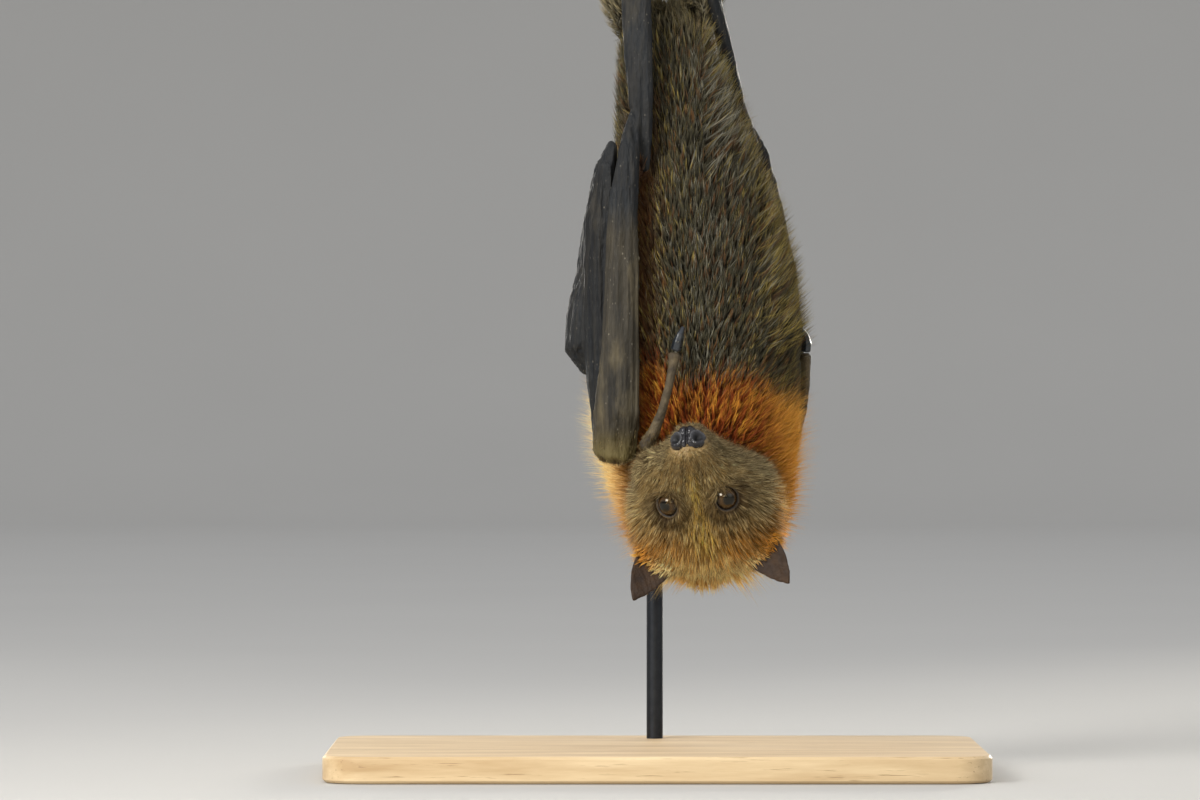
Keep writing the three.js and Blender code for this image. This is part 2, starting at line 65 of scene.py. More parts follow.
# The head's own axes: sideways, forward along the muzzle, and dorsal, towards the crown
NOSE_BACK = 2.5 * MM  # the nose's middle lies this far behind the nose tip, and this far under it
NOSE_UNDER = 3 * MM
eyes = {side: middle(f"eye_{side}") for side in SIDES}
EYE_RADIUS = (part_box("eye_left")[1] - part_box("eye_left")[0]).z / 2
between_eyes = (eyes["left"] + eyes["right"]) / 2
SIDEWAYS = (eyes["right"] - eyes["left"]).normalized()
to_nose = middle("nose") - between_eyes
to_nose = (to_nose - SIDEWAYS * to_nose.dot(SIDEWAYS)).normalized()
MUZZLE_DROP = math.radians(22.75)  # between that line and the muzzle's own
FORWARD = to_nose * math.cos(MUZZLE_DROP) + SIDEWAYS.cross(to_nose) * math.sin(MUZZLE_DROP)
DORSAL = SIDEWAYS.cross(FORWARD)
NOSE_TIP = middle("nose") + FORWARD * NOSE_BACK + DORSAL * NOSE_UNDER
HEAD_AXES = np.array([SIDEWAYS, FORWARD, DORSAL])

CROWN_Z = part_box("neck")[0].z
COLLAR_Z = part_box("neck")[1].z
HIP_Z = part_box("trunk")[1].z
BELLY_X = middle("trunk").x
PERCH_MIDDLE = middle("perch")
HEAD_X = 22  # the head hangs this far, in millimetres, to the right of the stand's middle


def head_place(sideways, forward, dorsal):
    """A point of the head from its distances to the nose tip, in millimetres."""
    return NOSE_TIP + (SIDEWAYS * sideways + FORWARD * forward + DORSAL * dorsal) * MM


def head_coordinates(points):
    """Sideways, forward and dorsal distances to the nose tip, in millimetres."""
    return (np.asarray(points) - np.array(NOSE_TIP)) @ HEAD_AXES.T / MM


def smooth(low, high, value):
    """0 below low, 1 above high, and a smooth step between them."""
    share = np.clip((np.asarray(value, float) - low) / (high - low), 0, 1)
    return share * share * (3 - 2 * share)


# ---------------------------------------------------------------- colours and node materials


def paint(code):
    """A linear colour from a painter's six-figure code."""
    parts = [int(code[i : i + 2], 16) / 255 for i in (0, 2, 4)]
    return tuple(((c + 0.055) / 1.055) ** 2.4 if c > 0.04 else c / 12.92 for c in parts) + (1.0,)


class Socket:
    """An output of a node, so that shader maths reads as an expression."""

    def __init__(self, finish, output):
        self.finish = finish
        self.output = output

    def maths(self, operation, *values):
        return self.finish.node("ShaderNodeMath", {"operation": operation}, dict(enumerate(values)))

    def __add__(self, other):
        return self.maths("ADD", self, other)

    def __sub__(self, other):
        return self.maths("SUBTRACT", self, other)

    def __rsub__(self, other):
        return self.maths("SUBTRACT", other, self)

    def __mul__(self, other):
        return self.maths("MULTIPLY", self, other)

    __radd__ = __add__
    __rmul__ = __mul__

    def between(self, low, high):
        """0 to 1 as this value goes from low to high."""
        values = {"Value": self, "From Min": low, "From Max": high}
        return self.finish.node("ShaderNodeMapRange", {"clamp": True}, values)


class Finish:
    """A node material while it is put together."""

    def __init__(self, name):
        self.material = bpy.data.materials.new(name)
        self.material.use_nodes = True
        self.tree = self.material.node_tree
        self.tree.nodes.clear()

    def node(self, kind, settings=None, inputs=None, output=0):
        made = self.tree.nodes.new(kind)
        for name, value in (settings or {}).items():
            setattr(made, name, value)
        for key, value in (inputs or {}).items():
            if isinstance(value, Socket):
                self.tree.links.new(value.output, made.inputs[key])
            else:
                made.inputs[key].default_value = value
        return Socket(self, made.outputs[output]) if made.outputs else None

    def place(self, stretch=(1, 1, 1)):
        """The piece's own coordinates, squeezed by a factor on each axis."""
        where = self.node("ShaderNodeTexCoord", output=3)
        return self.node("ShaderNodeMapping", {}, {"Vector": where, "Scale": stretch})

    def noise(self, scale, detail=3.0, roughness=0.55, stretch=(1, 1, 1)):
        values = {"Vector": self.place(stretch), "Scale": scale, "Detail": detail, "Roughness": roughness}
        return self.node("ShaderNodeTexNoise", {}, values)

    def cells(self, scale, stretch=(1, 1, 1), feature="F1"):
        values = {"Vector": self.place(stretch), "Scale": scale}
        return self.node("ShaderNodeTexVoronoi", {"feature": feature}, values)

    def mix(self, factor, first, second):
        """Colours mixed by a factor."""
        return self.node("ShaderNodeMix", {"data_type": "RGBA"}, {0: factor, 6: first, 7: second}, 2)

    def tones(self, value, dark, light, low=0.3, high=0.75):
        """From a dark paint to a light one as a value goes from low to high."""
        return self.mix(value.between(low, high), paint(dark), paint(light))

    def shade(self, colour, factor):
        """A colour multiplied by a value."""
        values = {0: colour, "Scale": factor}
        return self.node("ShaderNodeVectorMath", {"operation": "SCALE"}, values)

    def attribute(self, name, output=2):
        """A piece's attribute: as a colour from output 0, as a number from output 2."""
        return self.node("ShaderNodeAttribute", {"attribute_name": name}, {}, output)

    def bump(self, height, distance, strength=1.0):
        return self.node("ShaderNodeBump", {}, {"Height": height, "Distance": distance, "Strength": strength})

    def surface(self, **sockets):
        """Closes the material with a principled shader, whose sockets are named in plain words."""
        inputs = {name.replace("_", " ").title().replace("Ior", "IOR"): value for name, value in sockets.items()}
        shader = self.node("ShaderNodeBsdfPrincipled", {}, inputs)
        self.node("ShaderNodeOutputMaterial", {}, {"Surface": shader})
        return self.material


# ---------------------------------------------------------------- markings and painted light, the same on skin and coat

ROOTS = {
    "face": paint("42311a"),
    "crown": paint("8a5812"),
    "collar": paint("5e270a"),
    # Bright orange roots of the painted backlight on the collar's rim
    "rim": paint("cc8824"),
    "belly": paint("231f17"),
    "leg": paint("2b261b"),
}
TIPS = {
    "face": paint("c29f5e"),
    "crown": paint("f29f28"),
    # Painted highlight along the bridge of the muzzle
    "bridge": paint("ffd267"),
    "collar": paint("8c400e"),
    # Bright orange of the painted backlight on the collar's rim, also laid on a share of the collar's tufts
    "rim": paint("ffb640"),
    # Pale painted glow of backlit fur
    "painted_glow": paint("fff3b4"),
    "belly": paint("4a4633"),
    "golden": paint("b39d50"),
    "silver": paint("9a9684"),
    "rusty": paint("74481c"),
    "leg": paint("857a5c"),
    "cream": paint("fbe2a6"),
    # Greyer jaw, also painted shade on the right cheek
    "jaw_and_cheek_shade": paint("6e6247"),
    # Painted shade round the eyes
    "socket_shade": paint("54432b"),
}


def collar_edge(points):
    """How high the collar reaches: highest on the chest beside the thumb, and ragged all round."""
    x = (points[:, 0] - BELLY_X) / MM
    front = smooth(10, -10, points[:, 1] / MM)
    chest = 9 * np.exp(-(((x - 14) / 22) ** 2)) + 17 * np.exp(-(((x + 19) / 8) ** 2)) - 6 * smooth(22, 42, x)
    waves = 4 * np.sin(0.13 * x + 0.5) + 3 * np.sin(0.31 * x + 1)
    return COLLAR_Z / MM - 7 + front * chest + (1 - front) * waves


def bell(value, middle, width):
    """1 at the middle, falling away on both sides of it."""
    return np.exp(-(((value - middle) / width) ** 2))


def layered(base, *layers):
    """A colour for each point: a base with further colours laid over it, each by its own weight."""
    colour = np.tile(base, (len(layers[0][0]), 1))
    for weight, top in layers:
        colour += np.asarray(weight)[:, None] * (np.asarray(top) - colour)
    return colour


def markings(points, head, ragged=0.0):
    """Colours of the roots and the tips of the fur at some points, without the spread from hair to hair: markings,
    with painted backlight, highlight and shade laid in.

    `head` is 1 for points of the head, which has its own colours."""
    head = np.full(len(points), float(head))
    sideways, forward, dorsal = head_coordinates(points).T
    aside = np.abs(sideways)
    x, y, level = points.T / MM
    z = level + ragged
    from_belly = (points[:, 0] - BELLY_X) / MM - 6

    # The body: collar, legs, grizzled belly, the warm edge beside the left forearm, and painted backlight on the
    # collar's lowest part and its sides
    collar = smooth(4, -4, z - collar_edge(points))
    leg = smooth(-30, 4, z - HIP_Z / MM)
    grizzle = bell(from_belly, 0, 17) * smooth(12, -12, y)
    tan = bell(x, -5, 6) * smooth(8, -8, y) * smooth(176, 196, z) * smooth(316, 290, z)
    under = smooth(118, 96, level)
    sides = np.maximum(smooth(-26, -44, from_belly), smooth(17, 38, from_belly)) * smooth(200, 165, level)
    fore = smooth(26, 2, y)
    # Painted backlight on the collar's lowest part and its sides, stronger towards the front
    lit = np.maximum(under, 0.85 * sides) * collar * (0.2 + 0.8 * fore)
    # Painted glow: strongest on the collar's lowest part and on its left side, where the backlight catches it
    painted_glow = fore * np.maximum(0.8 * under, sides * np.where(from_belly < 0, 0.9, 0.08)) * collar

    # The head: a warm crown, a painted highlight on the bridge, painted backlight on the fringe and, with rust, at
    # the sides, a greyer jaw with painted shade on the right cheek, and painted shade in the eye sockets and furrows
    over = dorsal > 0
    crown = smooth(-38, -62, forward - 0.2 * dorsal)
    wide = 2.4 + 4 * smooth(-26, -44, forward)
    # Painted highlight: a pale golden stripe along the bridge of the muzzle
    bridge = bell(sideways, 0, wide) * smooth(-8, -16, forward) * smooth(-62, -46, forward) * over
    # Painted backlight: a pale glow on the fringe under the crown
    fringe = smooth(109, 97, z) * smooth(-6, 6, x) * smooth(52, 42, x)
    # Rust at the head's sides, tipped with the bright orange of the painted backlight
    edge = smooth(27.5, 32, aside) * smooth(-24, -34, forward)
    # A greyer jaw, and painted shade on the right cheek only
    jaw_and_cheek_shade = np.maximum(0.75 * smooth(3, -5, dorsal), 0.55 * smooth(10, 24, sideways)) * smooth(-60, -44, forward)
    from_eyes = [np.linalg.norm(points - np.array(eyes[side]), axis=1) / MM for side in SIDES]
    # Painted shade round the eyes
    socket_shade = 0.7 * smooth(12.5, 8.5, np.minimum(*from_eyes))
    # Painted shade in the furrows beside the bridge
    furrow_shade = bell(aside, 3.6, 1.1) * smooth(-7, -10, forward) * smooth(-26, -18, forward) * over

    roots = layered(
        ROOTS["belly"], (0.4 * tan, ROOTS["collar"]), (leg, ROOTS["leg"]), (collar, ROOTS["collar"]),
        (lit, ROOTS["rim"]), (head, ROOTS["face"]), (head * crown, ROOTS["crown"]),
        (0.8 * head * edge, ROOTS["collar"]), (0.7 * head * fringe, ROOTS["rim"]),
    )
    face = layered(
        TIPS["face"], (jaw_and_cheek_shade, TIPS["jaw_and_cheek_shade"]), (socket_shade, TIPS["socket_shade"]), (crown, TIPS["crown"]),
        (bridge, TIPS["bridge"]), (0.75 * furrow_shade, ROOTS["face"]), (0.85 * edge, TIPS["rim"]),
        (0.9 * fringe, TIPS["painted_glow"]),
    )
    tips = layered(
        TIPS["belly"], (0.6 * tan, TIPS["rusty"]), (leg, TIPS["leg"]), (collar, TIPS["collar"]),
        (lit, TIPS["rim"]), (painted_glow, TIPS["painted_glow"]), (head, face),
    )
    marks = {"head": head, "collar": collar, "leg": leg, "grizzle": grizzle, "crown": crown, "painted_glow": painted_glow,
             "socket_shade": socket_shade}
    return roots, tips, marks


def fur_finish():
    """Strands of fur: dark at the root, lighter to the tip, with a soft gloss along them."""
    fur = Finish("fur")
    along = fur.attribute("along")
    colour = fur.mix(along.between(0.15, 0.85), fur.attribute("root_colour", 0), fur.attribute("tip_colour", 0))
    patch = fur.noise(160, 2)
    return fur.surface(
        base_color=fur.shade(colour, patch * 0.5 + 0.75),
        roughness=fur.noise(900, 1) * 0.3 + 0.45,
        specular_ior_level=0.22,
        normal=fur.bump(fur.noise(2200, 2), 0.0002, 0.4),
    )


def hide_finish():
    """The skin under the coat, with the coat's own markings and painted light, darker, and bare round eyes, lips and
    feet.
    """
    hide = Finish("hide")
    under = hide.mix(0.45, hide.attribute("root_colour", 0), hide.attribute("tip_colour", 0))
    creases = hide.noise(700, 5, 0.65)
    bare = hide.tones(creases, "0f0b08", "2a1e14", 0.3, 0.8)
    colour = hide.mix(hide.attribute("bare"), hide.shade(under, hide.noise(300, 4) * 0.6 + 0.6), bare)
    grain = hide.cells(1400) * 0.5 + creases
    return hide.surface(
        base_color=colour,
        roughness=creases * 0.3 + 0.4,
        normal=hide.bump(grain, 0.0005, 0.6),
    )


# ---------------------------------------------------------------- making pieces


def object_of(name, source, finish, slot, *replaced):
    """A finished piece from a bmesh or a mesh: smooth, riding on the body, with its finish; `slot` is not used."""
    mesh = source
    if isinstance(source, bmesh.types.BMesh):
        mesh = bpy.data.meshes.new(name)
        source.to_mesh(mesh)
        source.free()
    mesh.name = name
    mesh.polygons.foreach_set("use_smooth", np.full(len(mesh.polygons), True))
    mesh.materials.clear()
    mesh.materials.append(finish)
    piece = bpy.data.objects.new(name, mesh)
    bpy.context.scene.collection.objects.link(piece)
    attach(piece, "root")
    if replaced:
        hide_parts(*replaced)
    return piece


def copies(*nodes, swell=0.0):
    """CAD nodes' copies in one bmesh, with their loose triangles merged, swelled outwards all round."""
    joined = bmesh.new()
    for node in nodes:
        part = bmesh.new()
        part.from_mesh(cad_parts[node].data)
        bmesh.ops.remove_doubles(part, verts=part.verts, dist=1e-6)
        part.normal_update()
        for vert in part.verts:
            vert.co += vert.normal * swell
        join(joined, part)
    return joined


def join(target, part):
    """Adds a bmesh to another one."""
    mesh = bpy.data.meshes.new("joining")
    part.to_mesh(mesh)
    part.free()
    target.from_mesh(mesh)
    bpy.data.meshes.remove(mesh)
    return target


SUBDIVIDED = ("SUBSURF", {"levels": 2, "render_levels": 2})


def modified(source, *modifiers):
    """A bmesh after some modifiers, each one a kind and its settings."""
    mesh = bpy.data.meshes.new("modifying")
    source.to_mesh(mesh)
    source.free()
    holder = bpy.data.objects.new("modifying", mesh)
    bpy.context.scene.collection.objects.link(holder)
    for kind, settings in modifiers:
        modifier = holder.modifiers.new(kind, kind)
        for name, value in settings.items():
            setattr(modifier, name, value)
    done = bmesh.new()
    done.from_object(holder, bpy.context.evaluated_depsgraph_get())
    bpy.data.objects.remove(holder)
    bpy.data.meshes.remove(mesh)
    return done


def remeshed(source, voxel, passes):
    """One closed surface of small even faces round everything in a bmesh, relaxed by some passes."""
    remesh = ("REMESH", {"mode": "VOXEL", "voxel_size": voxel})
    return modified(source, remesh, ("SMOOTH", {"factor": 0.5, "iterations": passes}))


def facing_out(source):
    """The closed surface with its faces turned outwards."""
    if source.calc_volume(signed=True) < 0:
        bmesh.ops.reverse_faces(source, faces=source.faces)
    return source


def settled(source):
    """The same surface with its faces in an order that doesn't change from run to run."""
    source.verts.index_update()
    rings = []
    for face in source.faces:
        ring = [vert.index for vert in face.verts]
        first = ring.index(min(ring))
        rings.append(ring[first:] + ring[:first])
    same = bmesh.new()
    verts = [same.verts.new(vert.co) for vert in source.verts]
    for ring in sorted(rings):
        same.faces.new([verts[k] for k in ring])
    source.free()
    return same


def points_of(source):
    """A bmesh's points, one row each."""
    return np.array([vert.co for vert in source.verts])


def normals_of(source):
    """A bmesh's normals, one row for each point."""
    source.normal_update()
    return np.array([vert.normal for vert in source.verts])


def place_points(source, points):
    """Moves a bmesh's points to the places given."""
    for vert, point in zip(source.verts, points):
        vert.co = point


def push_out(source, heights):
    """Moves each point of a surface outwards by its own height, in millimetres."""
    place_points(source, points_of(source) + normals_of(source) * (heights * MM)[:, None])


def nearest_distances(source_tree, points):
    """Distance from points to a surface, below 0 inside it."""
    found = np.empty(len(points))
    for i, point in enumerate(points):
        place, normal, _, distance = source_tree.find_nearest(Vector(point))
        found[i] = math.copysign(distance, (Vector(point) - place).dot(normal))
    return found


# ---------------------------------------------------------------- rounded forms measured from the CAD nodes


class Form:
    """The outside of CAD nodes as radii round a line, filled out across the seats cut in them.

    `along` is the line's direction and `across` and `up` span its sections. The radii are smoothed, so the
    form is round where its nodes are faceted."""

    TURNS = 96

    def __init__(self, nodes, centres, across, up, along, blur):
        self.centres = np.array(centres)
        self.across, self.up, self.along = (np.array(axis) for axis in (across, up, along))
        tree = BVHTree.FromBMesh(copies(*nodes))
        self.radii = np.array([[self.outside(tree, c, turn) for turn in self.turns()] for c in self.centres])
        self.fill()
        for _ in range(blur):
            around = [np.roll(self.radii, step, 1) for step in (-1, 0, 1)]
            self.radii = around[0] * 0.25 + around[1] * 0.5 + around[2] * 0.25
            padded = np.pad(self.radii, ((1, 1), (0, 0)), mode="edge")
            self.radii = padded[:-2] * 0.25 + padded[1:-1] * 0.5 + padded[2:] * 0.25

    def turns(self):
        return np.arange(self.TURNS) * 2 * np.pi / self.TURNS

    def direction(self, turn):
        return np.multiply.outer(np.cos(turn), self.across) + np.multiply.outer(np.sin(turn), self.up)

    def outside(self, tree, centre, turn, reach=0.15):
        out = Vector(self.direction(turn))
        _, _, _, distance = tree.ray_cast(Vector(centre) + out * reach, -out, reach)
        return 0.0 if distance is None else reach - distance

    def fill(self):
        """Bridges every hollow in each section with the straight line between its edges."""
        for _ in range(3):
            for step in range(1, self.TURNS // 6):
                one, other = np.roll(self.radii, step, 1), np.roll(self.radii, -step, 1)
                chord = 2 * one * other * math.cos(2 * np.pi * step / self.TURNS) / (one + other + 1e-9)
                self.radii = np.maximum(self.radii, chord)

    def place(self, share, turn, inset=0.0):
        """The point at a share of the line's length and a turn round it."""
        rows = len(self.centres) - 1
        row = np.clip(share * rows, 0, rows - 1e-6)
        column = np.mod(turn, 2 * np.pi) / (2 * np.pi) * self.TURNS
        low, left = row.astype(int), column.astype(int) % self.TURNS
        down, right = row - low, column - column.astype(int)
        after = (left + 1) % self.TURNS
        radius = (self.radii[low, left] * (1 - right) + self.radii[low, after] * right) * (1 - down) + (
            self.radii[low + 1, left] * (1 - right) + self.radii[low + 1, after] * right
        ) * down
        middle_line = self.centres[low] * (1 - down)[:, None] + self.centres[low + 1] * down[:, None]
        return middle_line + self.direction(turn) * (radius - inset)[:, None]

    def coordinates(self, points):
        """Share of the line's length and turn round it, of points near the form."""
        length = (self.centres[-1] - self.centres[0]) @ self.along
        share = np.clip((points - self.centres[0]) @ self.along / length, 0, 1)
        row = np.clip((share * (len(self.centres) - 1)).astype(int), 0, len(self.centres) - 1)
        away = points - self.centres[row]
        return share, np.arctan2(away @ self.up, away @ self.across)

    def surface(self, segments, rings):
        """A bmesh sphere laid over the form."""
        ball = bmesh.new()
        bmesh.ops.create_uvsphere(ball, u_segments=segments, v_segments=rings, radius=1)
        points = points_of(ball)
        pole = np.hypot(points[:, 0], points[:, 1]) < 1e-4
        placed = self.place((points[:, 2] + 1) / 2, np.arctan2(points[:, 1], points[:, 0]))
        ends = self.centres[np.where(points[:, 2] > 0, len(self.centres) - 1, 0)]
        place_points(ball, np.where(pole[:, None], ends, placed))
        return settled(facing_out(ball))


def body_form():
    """Trunk and collar together, from the crown up to the hips."""
    tree = BVHTree.FromBMesh(copies("trunk", "neck"))
    start = Vector((middle("neck").x, middle("neck").y, 0))
    heights = np.linspace(CROWN_Z + 0.5 * MM, HIP_Z - 0.5 * MM, 90)

    def middle_line(axis):
        """A cubic through the middles of the sections, along one axis."""
        reach, found = 0.15, []
        for height in heights:
            centre = Vector((start.x, start.y, height))
            hits = [tree.ray_cast(centre + axis * reach * sign, -axis * sign, 2 * reach) for sign in (1, -1)]
            if hits[0][0] and hits[1][0]:
                found.append((height, sum(hit[0].dot(axis) for hit in hits) / 2))
        return np.polyval(np.polyfit(*zip(*found), 3), heights)

    centres = np.stack([middle_line(Vector((1, 0, 0))), middle_line(Vector((0, 1, 0))), heights], 1)
    return Form(("trunk", "neck"), centres, (1, 0, 0), (0, 1, 0), (0, 0, 1), blur=5)


def head_form():
    """The head from behind the crown to the muzzle's front."""
    back, front = -86.0, -1.6
    centres = [head_place(0, forward, 0) for forward in np.linspace(back, front, 80)]
    return Form(("head",), centres, SIDEWAYS, DORSAL, FORWARD, blur=2)


# ---------------------------------------------------------------- the skin


def coat_depth(points):
    """How deep the skin lies under the fur's tips."""
    _, forward, dorsal = head_coordinates(points).T
    z = points[:, 2] / MM
    face = 0.7 + 3.6 * smooth(-22, -62, forward - 0.2 * dorsal)
    body = 5.5 + 2.0 * smooth(COLLAR_Z / MM + 20, COLLAR_Z / MM - 20, z)
    return face * MM, body * MM


def eye_axis(side):
    """The way an eye looks: forward, up over the face and a little to its side."""
    return (SIDEWAYS * SIDES[side] * 0.46 + FORWARD * 0.5 + DORSAL * 0.73).normalized()


def about_eye(points, side):
    """Heights of points along an eye's axis, and distances from it, in millimetres."""
    away = (points - np.array(eyes[side])) / MM
    height = away @ np.array(eye_axis(side))
    return height, np.sqrt(np.maximum((away**2).sum(1) - height**2, 0))


def lip_line(forward):
    """How far under the muzzle's axis the lips meet."""
    return -10.6 + 0.16 * (forward + 6)


LID_INNER = 5.2  # radii of the bare ring round an eye, in millimetres
LID_OUTER = 5.8
LID_BLEND = 9.0


def round_eye(points, side):
    """Draws the skin up round an eyeball: under its front, over its edge as a lid, and back to the face."""
    axis = np.array(eye_axis(side))
    height, off = about_eye(points, side)
    ball = EYE_RADIUS / MM
    crest = math.sqrt(ball**2 - LID_INNER**2) + 0.6
    sunk = np.sqrt(np.maximum(ball**2 - off**2, 0)) - 1.4
    lid = crest - 0.35 * np.maximum(off - LID_INNER - 0.45, 0)
    wanted = sunk + (lid - sunk) * smooth(LID_INNER - 0.5, LID_INNER + 0.1, off)
    weight = smooth(LID_BLEND, LID_OUTER, off) * (height > -2)
    return points + axis * ((wanted - height) * weight * MM)[:, None]


def head_skin(form):
    """The head's skin with its lips, brows, hollows, bridge, furrows and eyelids."""
    ball = form.surface(240, 180)
    points, normals = points_of(ball), normals_of(ball)
    sideways, forward, dorsal = head_coordinates(points).T
    aside, over = np.abs(sideways), dorsal > 0
    inset = coat_depth(points)[0] / MM
    # The lips' line runs back from under the nose, with the muzzle's sides full above it
    lips = lip_line(forward)
    inset += 1.0 * bell(dorsal, lips, 0.6) * smooth(-31, -26, forward) * smooth(-1, -3, forward)
    inset -= 0.6 * bell(dorsal, lips + 3.4, 2.4) * bell(forward, -13, 9) * smooth(2, 5, aside)
    # Brows over the eyes, hollows in front of them, a low ridge along the bridge, furrows beside it and behind it
    inset -= 1.1 * bell(forward, -38, 5) * bell(aside, 11, 6) * over
    inset += 0.9 * bell(forward, -22.5, 4) * bell(aside, 8.5, 3) * over
    inset -= 0.5 * bell(sideways, 0, 2.6) * smooth(-34, -24, forward) * over
    inset += 0.5 * bell(sideways, 0, 2.5) * smooth(-34, -42, forward) * over
    inset += 0.7 * bell(aside, 3.6, 1.2) * smooth(-26, -18, forward) * smooth(-5, -9, forward) * over
    points = points - normals * (inset * MM)[:, None]
    for side in SIDES:
        points = round_eye(points, side)
    place_points(ball, points)
    return ball


def body_skin(form):
    ball = form.surface(120, 140)
    push_out(ball, -coat_depth(points_of(ball))[1] / MM)
    return ball


LIMBS = [f"{part}_{side}" for part in ("upper_arm", "thigh", "shin") for side in SIDES]
ANKLE_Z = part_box("foot_left")[0].z


def limb_skin():
    """Upper arms, thighs and shins, thinly coated towards the ankles."""
    limbs = remeshed(copies(*LIMBS, swell=0.5 * MM), 1.5 * MM, 10)
    points, normals = points_of(limbs), normals_of(limbs)
    depth = 3.6 - 2.4 * smooth(HIP_Z / MM - 10, ANKLE_Z / MM - 6, points[:, 2] / MM)
    webs = BVHTree.FromBMesh(copies("leg_membrane_left", "leg_membrane_right"))
    depth = np.minimum(depth, 3.6 * smooth(1.5, 6, np.abs(nearest_distances(webs, points)) / MM) - 0.4)
    points = points - normals * (depth * MM)[:, None]
    # The thighs run out into the hips
    above = (points[:, 2] - HIP_Z) / MM
    sink = smooth(0, -26, above) * (above > -45)
    for i in np.flatnonzero(sink):
        place, normal, _, _ = body_tree.find_nearest(Vector(points[i]))
        points[i] += sink[i] * (np.array(place - normal * 1.5 * MM) - points[i])
    place_points(limbs, points)
    return limbs


def foot_skin():
    """The feet, with cross folds on the toes."""
    feet = remeshed(copies("foot_left", "foot_right"), 0.5 * MM, 3)
    points = points_of(feet)
    away = points - np.array(PERCH_MIDDLE)
    turn = np.arctan2(away[:, 2], away[:, 1])
    folds = np.abs(np.sin(turn * 17 + 2 * np.sin(points[:, 0] / (3 * MM))))
    push_out(feet, (folds**0.5 - 0.7) * 0.16)
    return feet


def skin():
    """One skin for head, neck, trunk, limbs and feet, with the coat's markings and painted light."""
    whole = head_skin(head)
    of_head = len(whole.verts)
    for part in (body_skin(body), limb_skin(), foot_skin()):
        join(whole, part)
    points = points_of(whole)
    marked = (markings(points[:of_head], 1), markings(points[of_head:], 0))
    roots, tips = (np.concatenate([marks[k] for marks in marked]) for k in (0, 1))
    _, forward, dorsal = head_coordinates(points).T
    lips = bell(dorsal, lip_line(forward), 1.0) * smooth(-33, -26, forward)
    bare = np.maximum(0.8 * lips, smooth(ANKLE_Z / MM - 2, ANKLE_Z / MM + 6, points[:, 2] / MM))
    for side in SIDES:
        height, off = about_eye(points, side)
        bare = np.maximum(bare, smooth(LID_OUTER + 0.5, LID_OUTER - 0.4, off) * (height > -2))
    replaced = ["head", "neck", "trunk", "foot_left", "foot_right", *LIMBS]
    piece = object_of("skin", whole, hide_finish(), "dark_fur", *replaced)
    give_colours(piece.data, root_colour=roots, tip_colour=tips)
    give_numbers(piece.data, bare=bare)
    return piece


def give_colours(mesh, **colours):
    for name, values in colours.items():
        layer = mesh.attributes.new(name, "FLOAT_COLOR", "POINT")
        layer.data.foreach_set("color", np.asarray(values, np.float32).ravel())


def give_numbers(mesh, **numbers):
    for name, values in numbers.items():
        layer = mesh.attributes.new(name, "FLOAT", "POINT")
        layer.data.foreach_set("value", np.asarray(values, np.float32).ravel())


# ---------------------------------------------------------------- eyes, nose and ears


def eye_finish():
    """A dark brown eye: pupil, streaked iris, dark rim, all under a wet gloss."""
    eye = Finish("eye")
    gaze = eye.attribute("gaze")  # 0 in the middle of the pupil, 1 at the iris's edge
    streaks = eye.noise(1800, 4) * 0.7 + 0.55
    iris = eye.tones(gaze, "48300f", "1e1207", 0.5, 0.95)
    seen = eye.mix(gaze.between(0.4, 0.62), paint("040302"), eye.shade(iris, streaks))
    rimmed = eye.mix(gaze.between(0.9, 1.05), seen, paint("0c0705"))
    return eye.surface(
        base_color=rimmed,
        roughness=eye.noise(400, 2) * 0.03 + 0.02,
        specular_ior_level=0.5,
        specular_tint=(1, 0.92, 0.76, 1),
        normal=eye.bump(eye.noise(250, 2), 0.00002, 0.2),
    )


def eyeball(side):
    """An eyeball with its clear front standing out a little, turned to look along its axis."""
    ball = bmesh.new()
    bmesh.ops.create_uvsphere(ball, u_segments=72, v_segments=48, radius=EYE_RADIUS)
    points = points_of(ball)
    turned = points[:, 2] / EYE_RADIUS
    bulge = 1 + 0.05 * smooth(0.62, 0.95, turned)
    gaze = np.arccos(np.clip(turned, -1, 1)) / math.radians(50)
    look = eye_axis(side).to_track_quat("Z", "Y").to_matrix()
    place_points(ball, (points * bulge[:, None]) @ np.array(look).T + np.array(eyes[side]))
    piece = object_of(f"eyeball_{side}", ball, eye_finish(), "eye", f"eye_{side}")
    give_numbers(piece.data, gaze=gaze)
    return piece


def ellipsoid(centre, sizes, axes):
    """A closed ellipsoid in its own axes."""
    ball = bmesh.new()
    bmesh.ops.create_uvsphere(ball, u_segments=32, v_segments=20, radius=1)
    place_points(ball, points_of(ball) * np.array(sizes) @ np.array(axes) + np.array(centre))
    return ball


def bare_skin_finish(name, dark, light, scale, depth, rough=0.35, stretch=(1, 1, 1)):
    """Bare leathery skin: two tones, fine cells and creases."""
    bare = Finish(name)
    tone = bare.noise(scale, 5, 0.6, stretch)
    colour = bare.tones(tone, dark, light)
    grain = bare.cells(scale * 7, stretch) * 0.6 + bare.noise(scale * 5, 5, 0.6, stretch)
    return bare.surface(base_color=colour, roughness=bare.noise(scale * 3, 3) * 0.3 + rough,
                        specular_ior_level=0.35, normal=bare.bump(grain, depth, 0.7))


NOSTRIL_APART = 5.1
NOSTRIL_HEIGHT = -1.9
NOSTRIL_WIDTH = 2.4


